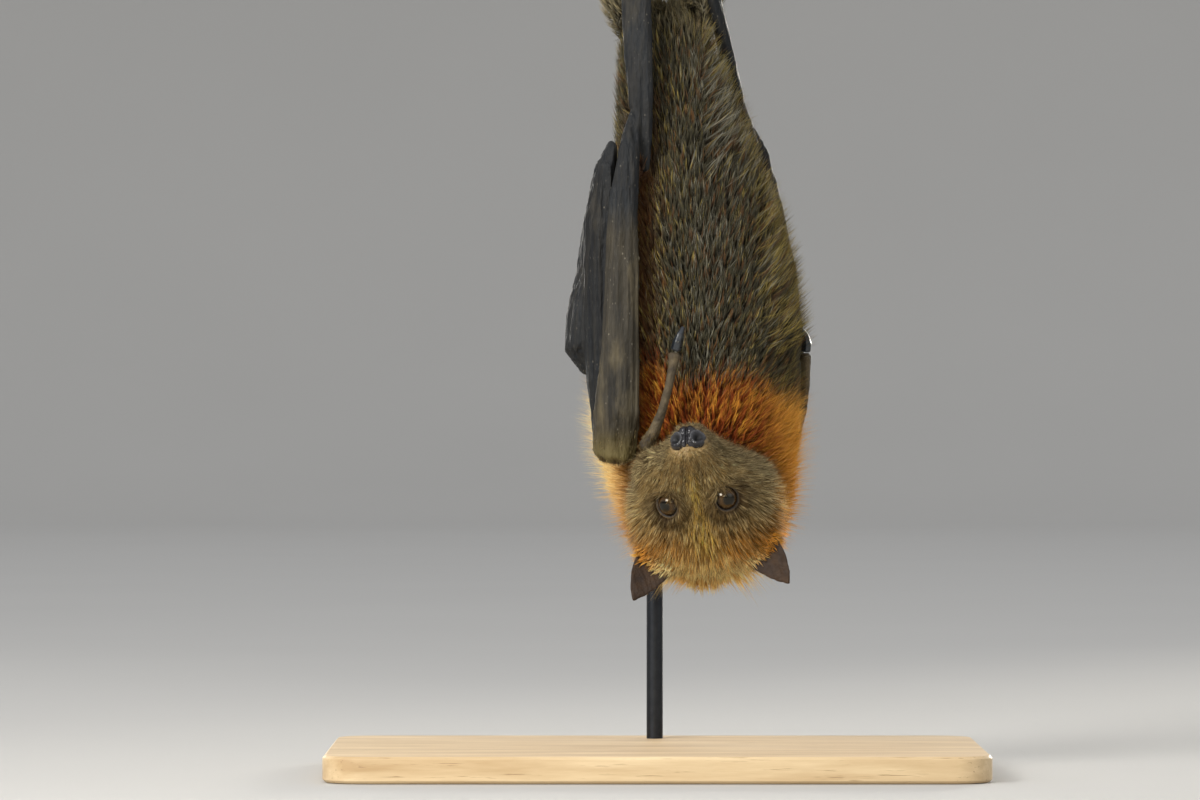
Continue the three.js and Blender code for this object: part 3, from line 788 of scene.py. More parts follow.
def nose():
    """The bare nose pad: two round nostril tubes either side of a notch, on a cushion above the lip."""
    pad = bmesh.new()
    # Middles and half sizes: pad, lip cushion, then each nostril's tube, its foot and its outer wing
    parts = [((0, -3.4, -2.6), (4.5, 4.3, 5.1)), ((0, -1.9, -6.6), (4.3, 3.4, 3.7))]
    for sign in (-1, 1):
        parts.append(((sign * 3.9, -3.0, -1.9), (3.4, 4.0, 4.2)))
        parts.append(((sign * 2.5, -2.9, -5.2), (2.9, 3.3, 3.1)))
        parts.append(((sign * 5.1, -4.4, -2.9), (2.2, 3.3, 3.6)))
    for centre, sizes in parts:
        join(pad, ellipsoid(head_place(*centre), np.array(sizes) * MM, HEAD_AXES))
    pad = remeshed(pad, 0.28 * MM, 6)
    sideways, forward, dorsal = head_coordinates(points_of(pad)).T
    notch = bell(sideways, 0, 0.7) * smooth(-3.6, 2, forward + 0.4 * dorsal + 3)
    # The nostrils open forwards and outwards, each under a curled rim
    normals = normals_of(pad)
    facing = normals @ np.array((FORWARD * 0.8 + DORSAL * 0.1).normalized())
    facing += 0.5 * np.abs(normals @ np.array(SIDEWAYS))
    front = smooth(0.0, 0.4, facing) * smooth(-7.5, -5.5, forward)
    out, low = np.abs(sideways) - NOSTRIL_APART, dorsal - NOSTRIL_HEIGHT
    hole = np.hypot((out + 0.35 * low) / 0.95, (low - 0.3 * out) / 1.25)
    curl = front * bell(hole, NOSTRIL_WIDTH + 0.5, 0.5) * smooth(1.5, -1.5, low - 1)
    rim, pit = bell(hole, NOSTRIL_WIDTH + 0.5, 0.45), smooth(NOSTRIL_WIDTH, NOSTRIL_WIDTH - 0.9, hole)
    pimples = np.sin(sideways * 5 + 3 * np.sin(dorsal * 2.1)) * np.sin(dorsal * 5.3 + forward * 3)
    push_out(pad, 1.0 * curl - 1.5 * notch + front * (0.3 * rim - 4.5 * pit) + 0.05 * pimples)
    piece = object_of("nose_pad", pad, nose_finish(), "nose_skin", "nose")
    # Where the nostrils are painted near-black: painted shade inside them
    inside = front * smooth(NOSTRIL_WIDTH + 0.1, NOSTRIL_WIDTH - 0.6, hole)
    give_numbers(piece.data, inside=inside, curl=curl)
    return piece


def nose_finish():
    """Blue-black pimpled glossy skin, with a painted highlight on the curled rims and near-black painted shade inside
    the nostrils.
    """
    pad = Finish("nose")
    tone = pad.noise(420, 4)
    colour = pad.tones(tone, "111014", "2b292c")
    # A painted highlight, light grey, on the curled rims of the nostrils
    rim_highlight = pad.mix(pad.attribute("curl") * 0.3, colour, paint("77787a"))
    grain = pad.cells(1500) * 0.8 + tone
    return pad.surface(
        # Painted shade, near-black, inside the nostrils
        base_color=pad.mix(pad.attribute("inside"), rim_highlight, paint("020202")),
        roughness=pad.noise(700, 2) * 0.25 + pad.attribute("inside") * 0.6 + 0.12,
        normal=pad.bump(grain, 0.00035, 0.6),
    )


def ear(side):
    """A plain oval ear, hollow in front, with fine ribs across the hollow."""
    oval = remeshed(copies(f"ear_{side}", swell=0.15 * MM), 0.45 * MM, 8)
    sideways, forward, _ = head_coordinates(points_of(oval)).T
    along = np.hypot(np.abs(sideways) - 20, forward + 55)
    push_out(oval, np.sin(along * 2.1) * 0.08 + np.sin(sideways * 3.1 + forward) * 0.04)
    finish = bare_skin_finish("ear", "20130a", "3f2a14", 130, 0.0004, 0.55)
    return object_of(f"ear_skin_{side}", oval, finish, "ear_skin", f"ear_{side}")


# ---------------------------------------------------------------- wings, thumbs and claws

WING_PARTS = ("forearm", "hand", "wing_tip", "leg_membrane")
BARE_PARTS = [f"{part}_{side}" for part in (*WING_PARTS, "thumb") for side in SIDES]


def wing_finish():
    """Folded wing skin: brown-black, lengthwise pleats, pale specks, and a bluish painted sheen beside the forearm's
    bone and on the sharpest creases.
    """
    wing = Finish("wing skin")
    lengthwise = (1, 1, 0.05)
    pleats = wing.noise(520, 6, 0.6, lengthwise)
    tone = wing.noise(40, 5, 0.6, (1, 1, 0.5))
    brown, black = wing.tones(tone, "1c1811", "3a3220", 0.3, 0.7), wing.tones(tone, "0a0b0d", "181b1e", 0.3, 0.7)
    base = wing.mix(wing.attribute("outer"), brown, black)
    inner = wing.attribute("outer") * -0.7 + 1
    pleated = wing.mix(pleats.between(0.42, 0.8) * inner * 0.6, base, paint("574f3f"))
    patches = wing.noise(95, 4, 0.6, (1, 1, 0.3)).between(0.56, 0.72) * inner * 0.3
    pleated = wing.mix(patches, pleated, paint("8a7c5c"))
    # A bluish-grey painted sheen, laid on where the wing marks it
    bloom = wing.mix(wing.attribute("bloom"), pleated, paint("4e5b66"))
    worn = wing.mix(wing.attribute("furry"), bloom, paint("6b5f38"))
    specks = wing.cells(520, (1, 1, 0.6)).between(0.2, 0.06) * wing.noise(150, 2).between(0.5, 0.7)
    colour = wing.mix(specks * 0.45, worn, paint("a89f8c"))
    grain = pleats * 1.3 + wing.cells(900, (1, 1, 0.3)) * 0.4 + wing.noise(1500, 3) * 0.25
    return wing.surface(base_color=colour, roughness=wing.noise(200, 4) * 0.25 + 0.48, specular_ior_level=0.24,
                        normal=wing.bump(grain, 0.0008, 0.8))


def ridged(points, scale, stretch, octaves=4):
    """Noise with sharp crests, pulled out along the wing's length."""
    squeezed = points * scale * np.array(stretch)
    return np.array([noise.ridged_multi_fractal(point, 0.9, 2.1, octaves, 0.9, 2.0) for point in squeezed]) - 0.9


def wing(side):
    """Forearm, hand, wing tip and leg membrane as one creased folded wing."""
    parts = [f"{part}_{side}" for part in WING_PARTS]
    folded = remeshed(copies(*parts, swell=0.25 * MM), 0.86 * MM, 3)
    points = points_of(folded)
    creases = ridged(points, 250, (1, 1, 0.04))
    wrinkles = ridged(points, 620, (1, 1, 0.3), 3)
    z = points[:, 2] / MM
    web = smooth(HIP_Z / MM - 60, HIP_Z / MM - 20, z)
    push_out(folded, np.clip(0.9 * creases + 0.1 * wrinkles, -1.3, 1.0) * (1 - 0.8 * web))
    furry = smooth(160, 144, z) * 0.7
    off = np.abs(nearest_distances(BVHTree.FromBMesh(copies(f"forearm_{side}")), points)) / MM
    outer = np.maximum(smooth(0.6, 2.0, off), smooth(244, 262, z))
    # Painted sheen: bluish-grey highlights beside the forearm's bone and on the sharpest crease crests
    beside = bell(off, 1.3, 0.7) * smooth(150, 175, z) * smooth(274, 258, z)
    bloom = np.clip(0.35 * smooth(0.9, 1.5, creases) + 0.5 * beside, 0, 0.6)
    piece = object_of(f"wing_{side}", folded, wing_finish(), "wing_skin", *parts)
    give_numbers(piece.data, bloom=bloom, furry=furry, outer=outer)
    return piece


def thumb(side):
    """A long bare thumb, creased all over."""
    bare = remeshed(copies(f"thumb_{side}", swell=0.1 * MM), 0.5 * MM, 5)
    push_out(bare, np.clip(0.16 * ridged(points_of(bare), 700, (1, 1, 0.8), 3), -0.3, 0.3))
    finish = bare_skin_finish("thumb", "332b20", "63563f", 220, 0.0005, 0.5)
    return object_of(f"thumb_skin_{side}", bare, finish, "wing_skin", f"thumb_{side}")


def claw_finish():
    """Blue-black horn with fine growth lines."""
    horn = Finish("claw")
    tone = horn.noise(300, 4)
    colour = horn.tones(tone, "0b0d12", "2a3036")
    return horn.surface(base_color=colour, roughness=horn.noise(600, 3) * 0.2 + 0.2, coat_weight=0.4,
                        coat_roughness=0.15, normal=horn.bump(horn.noise(900, 3), 0.0002, 0.5))


def claw(node, finish, voxel=0.0):
    """One claw, rounded, or remeshed finely where it has to keep its seat on the thumb."""
    if voxel:
        rounded = remeshed(copies(node, swell=0.5 * MM), voxel, 4)
    else:
        rounded = modified(copies(node, swell=0.12 * MM), ("SUBSURF", {"levels": 3, "render_levels": 3}))
    return object_of(f"{node}_horn", rounded, finish, "claw", node)


# ---------------------------------------------------------------- the coat

BLADE_SIDES = 3
BLADE_TAPER = (1, 0.85, 0.6)  # a tuft's width at each step from its root
PIECE_TRIANGLES = 190000
ROOT_DEPTH = 0.5 * MM  # how far a tuft's root sits under the skin
TUFT_PATCH = 0.0034  # a tuft's patch on the coat's map
PLANTED = {"head": 105000, "ear": 9000, "wrist": 14000, "flank": 80000, "limbs": 15500}  # roots before thinning
LONG_HAIR = 4.2 * MM  # tufts longer than this are bent in the middle


class Tufts:
    """Tufts of fur as arrays with one row for each: points, normals, around and along on the unrolled skin, then
    also lie, locks, length, width, root_lift and tip_lift, the degrees a tuft stands out at its ends."""

    def __init__(self, **arrays):
        self.__dict__.update(arrays)

    def pick(self, keep):
        return Tufts(**{name: values[keep] for name, values in vars(self).items()})

    def __len__(self):
        return len(self.points)


def unit(vectors):
    """Vectors of the same directions and length 1."""
    return vectors / np.maximum(np.linalg.norm(vectors, axis=-1, keepdims=True), 1e-12)


def flat_on(vectors, normals):
    """Vectors laid down onto the surface."""
    return unit(vectors - normals * (vectors * normals).sum(1, keepdims=True))


def spread(count, low, high):
    """Numbers drawn evenly between low and high."""
    return draw.uniform(low, high, count)


def triangles_of(source):
    """A surface's triangles as point numbers."""
    source.verts.index_update()
    rings = [[vert.index for vert in face.verts] for face in source.faces]
    return np.array([(ring[0], one, other) for ring in rings for one, other in zip(ring[1:], ring[2:])])


def planted(source, count, coordinates):
    """Random roots spread evenly over a surface, which is used up."""
    points, normals, corners = points_of(source), normals_of(source), triangles_of(source)
    source.free()
    a, b, c = (points[corners[:, k]] for k in range(3))
    areas = np.linalg.norm(np.cross(b - a, c - a), axis=1)
    chosen = draw.choice(len(corners), count, p=areas / areas.sum())
    shares = draw.dirichlet((1, 1, 1), count)
    at = np.einsum("nk,nkd->nd", shares, points[corners[chosen]])
    facing = unit(np.einsum("nk,nkd->nd", shares, normals[corners[chosen]]))
    along, around = coordinates(at)
    return Tufts(points=at, normals=facing, around=around, along=along)


def height_and_turn(centre):
    """Coordinates on a limb's unrolled skin: height, and turn round an upright line."""

    def coordinates(points):
        away = points - np.array(centre)
        return points[:, 2], np.arctan2(away[:, 1], away[:, 0])

    return coordinates


def own_cells(tufts):
    """A place of its own on the unrolled skin for each root, in rows and columns that keep their order."""
    count = len(tufts)
    columns = max(1, int(math.sqrt(count)))
    column = np.empty(count, int)
    column[np.argsort(tufts.around, kind="stable")] = np.arange(count) * columns // count
    order = np.lexsort((tufts.along, column))
    starts = np.searchsorted(column[order], np.arange(columns))
    row = np.empty(count)
    row[order] = np.arange(count) - starts[column[order]]
    height = np.bincount(column, minlength=columns)[column]
    return np.stack([(column + 0.1) / columns, (row + 0.1) / height], 1)


def coat(name, tufts, roots, tips, middle_tone, slot, steps):
    """One mesh of tufts: thin closed blades, bent over along their lie, tapering to a point."""
    count = len(tufts)
    lie = flat_on(tufts.lie, tufts.normals)
    rows = [tufts.points - tufts.normals * ROOT_DEPTH]
    verts = []
    for step in range(steps):
        share = (step + 0.5) / steps
        lift = np.radians(tufts.root_lift + (tufts.tip_lift - tufts.root_lift) * share)[:, None]
        way = lie * np.cos(lift) + tufts.normals * np.sin(lift)
        right = unit(np.cross(way, tufts.normals))
        over = np.cross(right, way)
        half = (tufts.width / 2 * BLADE_TAPER[step])[:, None]
        verts += [rows[step] - right * half, rows[step] + right * half, rows[step] + over * half * 0.7]
        rows.append(rows[step] + way * (tufts.length / steps)[:, None])
    verts = np.stack([*verts, rows[-1]], 1)
    triangles, patch = blade_faces(steps)
    size = verts.shape[1]
    corners = (triangles[None] + (np.arange(count) * size)[:, None, None]).reshape(-1)
    mesh = bpy.data.meshes.new(name)
    mesh.vertices.add(count * size)
    mesh.vertices.foreach_set("co", verts.astype(np.float32).ravel())
    mesh.loops.add(len(corners))
    mesh.loops.foreach_set("vertex_index", corners.astype(np.int32))
    mesh.polygons.add(len(corners) // 3)
    mesh.polygons.foreach_set("loop_start", np.arange(0, len(corners), 3, dtype=np.int32))
    mesh.update(calc_edges=True)
    layer = mesh.uv_layers.new(name="OFBake")
    uv = own_cells(tufts)[:, None] * (1 - TUFT_PATCH) + patch[None] * TUFT_PATCH
    layer.uv.foreach_set("vector", uv.astype(np.float32).ravel())
    tones = [0.0] * 3 + [middle_tone] * 3 * (steps - 1) + [1.0]
    piece = object_of(name, mesh, fur, slot)
    give_numbers(mesh, along=np.tile(tones, count))
    give_colours(mesh, root_colour=np.repeat(roots, size, 0), tip_colour=np.repeat(tips, size, 0))
    return piece


def blade_faces(steps):
    """A blade's triangles, and each corner's place on its patch: root cap below, three sides next to each other."""
    triangles, patch = [(0, 1, 2)], [(0.0, 0.0), (1.0, 0.0), (0.5, 0.12)]
    for side in range(BLADE_SIDES):
        one, other = side, (side + 1) % BLADE_SIDES
        left, right = side / BLADE_SIDES + 0.02, (side + 1) / BLADE_SIDES - 0.02
        for step in range(steps):
            low, high = 0.16 + 0.84 * step / steps, 0.16 + 0.84 * (step + 1) / steps
            a, b, c, d = 3 * step + one, 3 * step + other, 3 * step + 3 + one, 3 * step + 3 + other
            if step == steps - 1:
                triangles.append((b, a, 3 * steps))
                patch += [(right, low), (left, low), ((left + right) / 2, high)]
                continue
            triangles += [(b, a, c), (b, c, d)]
            patch += [(right, low), (left, low), (left, high), (right, low), (left, high), (right, high)]
    return np.array(triangles), np.array(patch)


def clump(tufts, size, pull):
    """Gathers tufts into locks of about one size, each tuft leaning towards the middle of its lock."""
    centres = max(4, int(len(tufts) / size))
    chosen = draw.choice(len(tufts), centres, replace=False)
    tree = KDTree(centres)
    for i, k in enumerate(chosen):
        tree.insert(Vector(tufts.points[k]), i)
    tree.balance()
    tufts.locks = np.array([tree.find(Vector(point))[1] for point in tufts.points])
    swing = draw.normal(0, 0.16, (centres, 3))
    towards = tufts.points[chosen][tufts.locks] - tufts.points
    tufts.lie = tufts.lie + towards / (3 * MM) * pull + swing[tufts.locks]


def comb(tufts, lie, lengths, width, lift, root_more, tip_less):
    """Gives short tufts one lie, locks, and drawn lengths and lifts. `lift` is a middle and a spread."""
    tufts.lie = np.broadcast_to(lie, tufts.points.shape)
    clump(tufts, 5, 0.3)
    tufts.length = spread(len(tufts), *lengths) * MM
    tufts.width = np.full(len(tufts), width * MM)
    stand = draw.normal(*lift, len(tufts))
    tufts.root_lift, tufts.tip_lift = stand + root_more, stand - tip_less


def clear_of(trees, tufts, reach=0.75):
    """Which tufts neither start inside the bare parts nor run into them."""
    keep = np.ones(len(tufts), bool)
    way = flat_on(tufts.lie, tufts.normals) * 0.85 + tufts.normals * 0.45
    ends = tufts.points + way * (tufts.length * reach)[:, None]
    for tree, low, high in trees:
        near = [((points > low) & (points < high)).all(1) for points in (tufts.points, ends)]
        for i in np.flatnonzero((near[0] | near[1]) & keep):
            for point in (tufts.points[i], ends[i]):
                place, normal, _, distance = tree.find_nearest(Vector(point))
                if (Vector(point) - place).dot(normal) < -0.7 * distance:
                    keep[i] = False
                    break
    return keep


def bare_trees(*nodes):
    """CAD nodes as bare parts that the coat keeps clear of: their surfaces and boxes."""
    trees = []
    for node in nodes:
        low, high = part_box(node)
        pad = Vector((1, 1, 1)) * MM
        trees.append((BVHTree.FromBMesh(copies(node)), np.array(low - pad), np.array(high + pad)))
    return trees


def piece_tree(piece):
    """A finished piece as one of the bare parts."""
    mesh = bmesh.new()
    mesh.from_mesh(piece.data)
    points = points_of(mesh)
    tree = BVHTree.FromBMesh(mesh)
    mesh.free()
    return tree, points.min(0) - MM, points.max(0) + MM


def grow(name, tufts, slot, middle_tone, head, steps=2, flecks=0.0, rims=0.0, pale=0.0):
    """Colours tufts one by one and splits them into pieces by height.

    Tufts of one lock are mostly alike. `flecks` and `rims` are the shares of tufts with the belly's pale tips and
    with the collar's tips in the bright orange of the painted backlight, and `pale` is how much cream every tuft has."""
    count = len(tufts)
    ragged = draw.normal(0, 4, count) * (1 + smooth(0, 20, tufts.points[:, 1] / MM))
    roots, tips, marks = markings(tufts.points, head, ragged)

    def tint(weight, colour):
        nonlocal tips
        tips = tips + np.asarray(weight)[:, None] * (np.asarray(colour) - tips)

    alike = draw.random((3, tufts.locks.max() + 1))[:, tufts.locks]
    chance, strength, tone = np.where(draw.random(count) < 0.7, alike, draw.random((3, count)))
    trunk = (1 - marks["head"]) * (1 - marks["collar"]) * (1 - marks["leg"])
    silver = (draw.random(count) < 0.12 + 0.8 * marks["grizzle"])[:, None]
    tint(trunk * (chance < flecks) * (0.45 + 0.55 * strength), np.where(silver, TIPS["silver"], TIPS["golden"]))
    tint(trunk * (chance > 0.86) * 0.7, TIPS["rusty"])
    # Painted backlight: a share of the collar's tufts take the bright rim orange, and some the painted glow
    tint(marks["collar"] * (chance < rims) * (0.3 + 0.7 * strength), TIPS["rim"])
    tint(marks["painted_glow"] * (chance < 0.9 * rims) * strength, TIPS["painted_glow"])
    # Fewer cream tips on the crown, and where shade is painted round the eyes
    creamy = marks["head"] * (1 - 0.85 * marks["crown"]) * (1 - 0.8 * marks["socket_shade"]) + marks["leg"] * 0.5
    tint(creamy * np.maximum((chance > 0.7) * (0.4 + 0.6 * strength), pale), TIPS["cream"])
    tint(marks["head"] * (chance < 0.3) * (0.75 - 0.75 * pale), ROOTS["face"])
    uneven = 0.24 + 0.16 * marks["head"] - 0.12 * marks["collar"]
    shade = (draw.normal(1, 0.1, count) + uneven * (2 * tone - 1)).clip(0.45, 1.6)[:, None]
    roots, tips = roots * shade, np.clip(tips * shade, 0, 1)
    roots[:, 3] = tips[:, 3] = 1
    pieces = math.ceil(count * (6 * steps - 2) / PIECE_TRIANGLES)
    rank = np.empty(count, int)
    rank[np.argsort(tufts.along, kind="stable")] = np.arange(count) * pieces // count
    for k in range(pieces):
        own = rank == k
        coat(f"{name}_{k + 1}", tufts.pick(own), roots[own], tips[own], middle_tone, slot, steps)


def head_roots(form, count):
    """Roots on the head, clear of eyelids, lips and what the collar covers, with fewer behind."""
    tufts = planted(head_skin(form), count, form.coordinates)
    _, forward, dorsal = head_coordinates(tufts.points).T
    behind = smooth(6, 22, (tufts.points[:, 1] - NOSE_TIP.y) / MM - 38)
    keep = draw.random(len(tufts)) > 0.8 * behind
    keep &= nearest_distances(body_tree, tufts.points) > -2.5 * MM
    for side in SIDES:
        height, off = about_eye(tufts.points, side)
        keep &= (off > LID_OUTER - 0.2) | (height < -2)
    lips = np.abs(dorsal - lip_line(forward)) < 0.4
    keep &= ~(lips & (forward > -28))
    return tufts.pick(keep)


def head_coat(form, pad):
    """Short fur on the muzzle, longer towards the crown and the cheeks, radiating back from the nose."""
    tufts = head_roots(form, PLANTED["head"])
    sideways, forward, dorsal = head_coordinates(tufts.points).T
    tufts.cheek = smooth(12, 27, np.abs(sideways))
    tufts.back = smooth(-12, -62, forward)
    # Under half of the roots are enough further back, where the hairs are longer
    keep = draw.random(len(tufts)) < 1 - 0.62 * smooth(-24, -44, forward)
    radial = np.stack([sideways, np.zeros(len(tufts)), dorsal], 1) / 20
    tufts.lie = (np.array([[0.0, -1.0, 0.0]]) + radial * smooth(-22, -56, forward)[:, None] * 0.75) @ HEAD_AXES
    for side in SIDES:
        away = tufts.points - np.array(eyes[side])
        near = smooth(13, 7, np.linalg.norm(away, axis=1) / MM)
        tufts.lie += unit(away) * near[:, None] * 0.9
    length = 2.6 + 2.4 * smooth(-4, -22, forward) + 3.6 * smooth(-30, -64, forward) + 2.0 * tufts.cheek
    tufts.length = length * spread(len(tufts), 0.7, 1.25) * MM
    keep &= clear_of([piece_tree(pad), *bare_wings], tufts, 0.5)
    tufts = tufts.pick(keep)
    clump(tufts, 5, 0.3)
    tufts.width = (0.27 + 0.08 * tufts.back) * MM
    lift = 25 + 11 * tufts.back + 16 * tufts.cheek + draw.normal(0, 6, len(tufts))

    # Fine pale guard hairs that stray, over the face's short fur and the crown's long fur
    fine = draw.random(len(tufts)) < 0.24
    guard = tufts.pick(fine)
    guard.lie = (tufts.lie + draw.normal(0, 0.45, tufts.lie.shape))[fine]
    guard.length = guard.length * 1.25
    guard.width = np.full(len(guard), 0.13 * MM)
    guard.root_lift, guard.tip_lift = lift[fine] + 14, lift[fine] + 4
    grow("coat_guard", guard, "grey_fur", 0.5, head=1, steps=1, pale=0.5)
    long = tufts.length > LONG_HAIR
    tufts.root_lift, tufts.tip_lift = lift + 10 * long, lift - 8 - 2 * long
    grow("coat_face", tufts.pick(~long), "grey_fur", 0.5, head=1, steps=1)
    grow("coat_crown", tufts.pick(long), "grey_fur", 0.5, head=1)


def ear_coat(side):
    """Short fur over the root of an ear, lying towards its tip."""
    source = modified(copies(f"ear_{side}", swell=0.3 * MM), SUBDIVIDED)
    skull = np.array(head_place(0, -50, 0))

    def coordinates(points):
        away = points - skull
        return np.linalg.norm(away, axis=1), np.arctan2(away[:, 1], away[:, 0])

    tufts = planted(source, PLANTED["ear"], coordinates)
    away = nearest_distances(head_tree, tufts.points) / MM
    tufts = tufts.pick((away > -2) & (draw.random(len(tufts)) < smooth(9, 4, away)))
    comb(tufts, unit(tufts.points - skull), (3.5, 5.5), 0.3, (24, 6), 8, 8)
    grow(f"coat_ear_{side}", tufts, "grey_fur", 0.5, head=1)


def wrist_coat(side):
    """Short olive fur on the wrist and the root of the thumb."""
    source = modified(copies(f"forearm_{side}", f"thumb_{side}", swell=0.3 * MM), SUBDIVIDED)
    tufts = planted(source, PLANTED["wrist"], height_and_turn(middle(f"forearm_{side}")))
    tufts = tufts.pick(draw.random(len(tufts)) < smooth(160, 150, tufts.points[:, 2] / MM))
    comb(tufts, (0.15 * SIDES[side], -0.1, -1.0), (2.2, 3.6), 0.26, (20, 6), 6, 8)
    grow(f"coat_wrist_{side}", tufts, "grey_fur", 0.5, head=1, steps=1)


def body_lie(points):
    """The way the body's fur runs: from the head to the hips, and outwards from the belly's midline."""
    x = (points[:, 0] - BELLY_X) / (50 * MM)
    low = smooth(COLLAR_Z / MM - 10, CROWN_Z / MM, points[:, 2] / MM)[:, None]
    radial = unit(points - np.array(head_place(0, -55, 0)))
    up = np.stack([0.45 * x, np.zeros(len(points)), np.ones(len(points))], 1)
    down = radial * np.array([1.6, 0.9, 0.9]) + np.array([0, 0.5, 0])
    return up * (1 - low) + down * low


def body_roots(form, count, behind):
    """Roots on trunk and collar, clear of the head, with a share of them kept behind."""
    tufts = planted(body_skin(form), count, form.coordinates)
    keep = draw.random(len(tufts)) > (1 - behind) * smooth(0, 18, tufts.points[:, 1] / MM)
    keep &= nearest_distances(head_tree, tufts.points) > -1.5 * MM
    return tufts.pick(keep)


def body_layer(form, name, count, behind, length, width, lifts, steps, flecks, rims, keep_where=None):
    """One layer of the body's coat, longer and fuzzier in the collar."""
    tufts = body_roots(form, count, behind)
    if keep_where is not None:
        tufts = tufts.pick(keep_where(tufts.points))
    x, _, z = tufts.points.T / MM
    tufts.ruff = smooth(COLLAR_Z / MM + 5, COLLAR_Z / MM - 25, z)
    tufts.lie = body_lie(tufts.points)
    low = smooth(CROWN_Z / MM + 24, CROWN_Z / MM + 8, z)
    fringe = 1 + low * (0.75 * smooth(6, 15, np.abs(x - HEAD_X)) - 0.35)
    tufts.length = length * (1 + 0.38 * tufts.ruff) * fringe * spread(len(tufts), 0.7, 1.2) * MM
    tufts = tufts.pick(clear_of(bare_wings + bare_ears, tufts))
    clump(tufts, 6, 0.3)
    jitter = draw.normal(0, 5, len(tufts))
    tufts.width = np.full(len(tufts), width * MM)
    tufts.root_lift, tufts.tip_lift = (lift + 16 * tufts.ruff + jitter for lift in lifts)
    grow(name, tufts, "dark_fur", 0.35, 0, steps, flecks, rims)


def tufted(points):
    """Where the pale tips gather in loose patches."""
    patches = np.array([noise.noise(Vector(point) * 55) for point in points])
    return draw.random(len(points)) < 0.25 + 0.6 * smooth(-0.25, 0.35, patches)


def collar_zone(points):
    """Where the collar's fuzz grows."""
    return points[:, 2] / MM < COLLAR_Z / MM + 8


def body_coat(form):
    """Dense dark fur with a rusty collar, pale flecks over it, and fine pale fuzz round the collar's rim, tipped with
    the painted backlight's orange and glow.
    """
    body_layer(form, "coat_body", 76000, 0.42, 9.0, 0.42, (42, 12), 2, flecks=0.12, rims=0.1)
    body_layer(form, "coat_flecks", 72000, 0.35, 8.2, 0.24, (34, 22), 1, flecks=0.8, rims=0.3, keep_where=tufted)
    body_layer(form, "coat_fuzz", 46000, 0.3, 12.0, 0.22, (56, 48), 1, flecks=0.5, rims=1.0, keep_where=collar_zone)


def flank_coat(form):
    """Long pale fur on the right flank, combed forward over the edge of the folded wing."""
    tufts = body_roots(form, PLANTED["flank"], 0.9)
    x, y, z = tufts.points.T / MM
    from_belly = x - BELLY_X / MM
    front = smooth(24, 10, y)
    beside = smooth(20, 30, from_belly) * front * smooth(-26, -14, y) * smooth(186, 200, z)
    beside = np.maximum(beside, smooth(262, 290, z) * (from_belly > 0) * front)
    tufts = tufts.pick(draw.random(len(tufts)) < 0.55 * beside * smooth(HIP_Z / MM + 6, HIP_Z / MM - 10, z))
    comb(tufts, (0.75, -0.35, 0.8), (10, 16), 0.26, (46, 8), 8, 12)
    grow("coat_flank", tufts, "dark_fur", 0.5, head=0, flecks=0.7)


def limb_coat():
    """Fur on the upper arms, thighs and shins, shortest at the ankles."""
    tufts = planted(limb_skin(), PLANTED["limbs"], height_and_turn(PERCH_MIDDLE))
    tufts = tufts.pick(nearest_distances(body_tree, tufts.points) > -2 * MM)
    x, _, z = tufts.points.T
    tufts.ankle = smooth(HIP_Z / MM - 10, ANKLE_Z / MM, z / MM)
    tufts.lie = np.stack([0.3 * np.sign(x), np.full(len(tufts), 0.1), np.ones(len(tufts))], 1)
    tufts.length = (7.5 - 4.5 * tufts.ankle) * spread(len(tufts), 0.7, 1.2) * MM
    tufts = tufts.pick(clear_of(bare_wings, tufts))
    clump(tufts, 8, 0.25)
    tufts.width = (0.42 - 0.12 * tufts.ankle) * MM
    tufts.root_lift, tufts.tip_lift = 46 - 12 * tufts.ankle, 14 - 6 * tufts.ankle
    grow("coat_legs", tufts, "leg_fur", 0.4, head=0)


# ---------------------------------------------------------------- perch and stand

FEET_APART = 34


def bark_finish():
    """Grey-brown bark, cracked lengthwise, paler wood on the cut ends."""
    bark = Finish("bark")
    lengthwise = (0.16, 1, 1)
    cracks = bark.cells(210, lengthwise, "DISTANCE_TO_EDGE").between(0.0, 0.12)
    tone = bark.noise(90, 6, 0.65, (0.4, 1, 1))
    colour = bark.tones(tone, "3b3027", "86776a", 0.3, 0.7)
    cracked = bark.mix(cracks, paint("1d1612"), colour)
    lichen = bark.noise(42, 4).between(0.6, 0.68) * bark.noise(500, 2).between(0.35, 0.6)
    grown = bark.mix(lichen * 0.6, cracked, paint("9a9c80"))
    rings = bark.noise(700, 3, 0.6, (0.1, 1, 1))
    wood = bark.tones(rings, "a98a60", "d0b389", 0.3, 0.7)
    end = bark.attribute("end")
    grain = cracks * 1.5 * (1 - end) + tone
    return bark.surface(base_color=bark.mix(end, grown, wood), roughness=tone * 0.2 + 0.65,
                        normal=bark.bump(grain, 0.0012, 0.8))


def perch():
    """The cut length of branch, barked, with flat sawn ends."""
    rough = remeshed(copies("perch", swell=-0.2 * MM), 1.3 * MM, 6)
    points = points_of(rough)
    facing_end = np.abs(normals_of(rough)[:, 0]) > 0.6
    from_middle = np.abs(points[:, 0] - PERCH_MIDDLE.x) / MM
    half = (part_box("perch")[1].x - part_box("perch")[0].x) / 2 / MM
    end = smooth(half - 1.6, half - 0.6, from_middle)
    calm = smooth(9, 16, np.abs(from_middle - FEET_APART / 2))  # the bark is smoother under the feet
    cracks = np.clip(ridged(points, 300, (0.12, 1, 1)), -1, 1)
    knots = np.array([noise.noise(point * 45) for point in points])
    push_out(rough, (0.45 * cracks * (0.3 + 0.7 * calm) + 0.7 * knots * calm) * ~facing_end)
    piece = object_of("branch", rough, bark_finish(), "bark", "perch")
    give_numbers(piece.data, end=end * facing_end)
    return piece


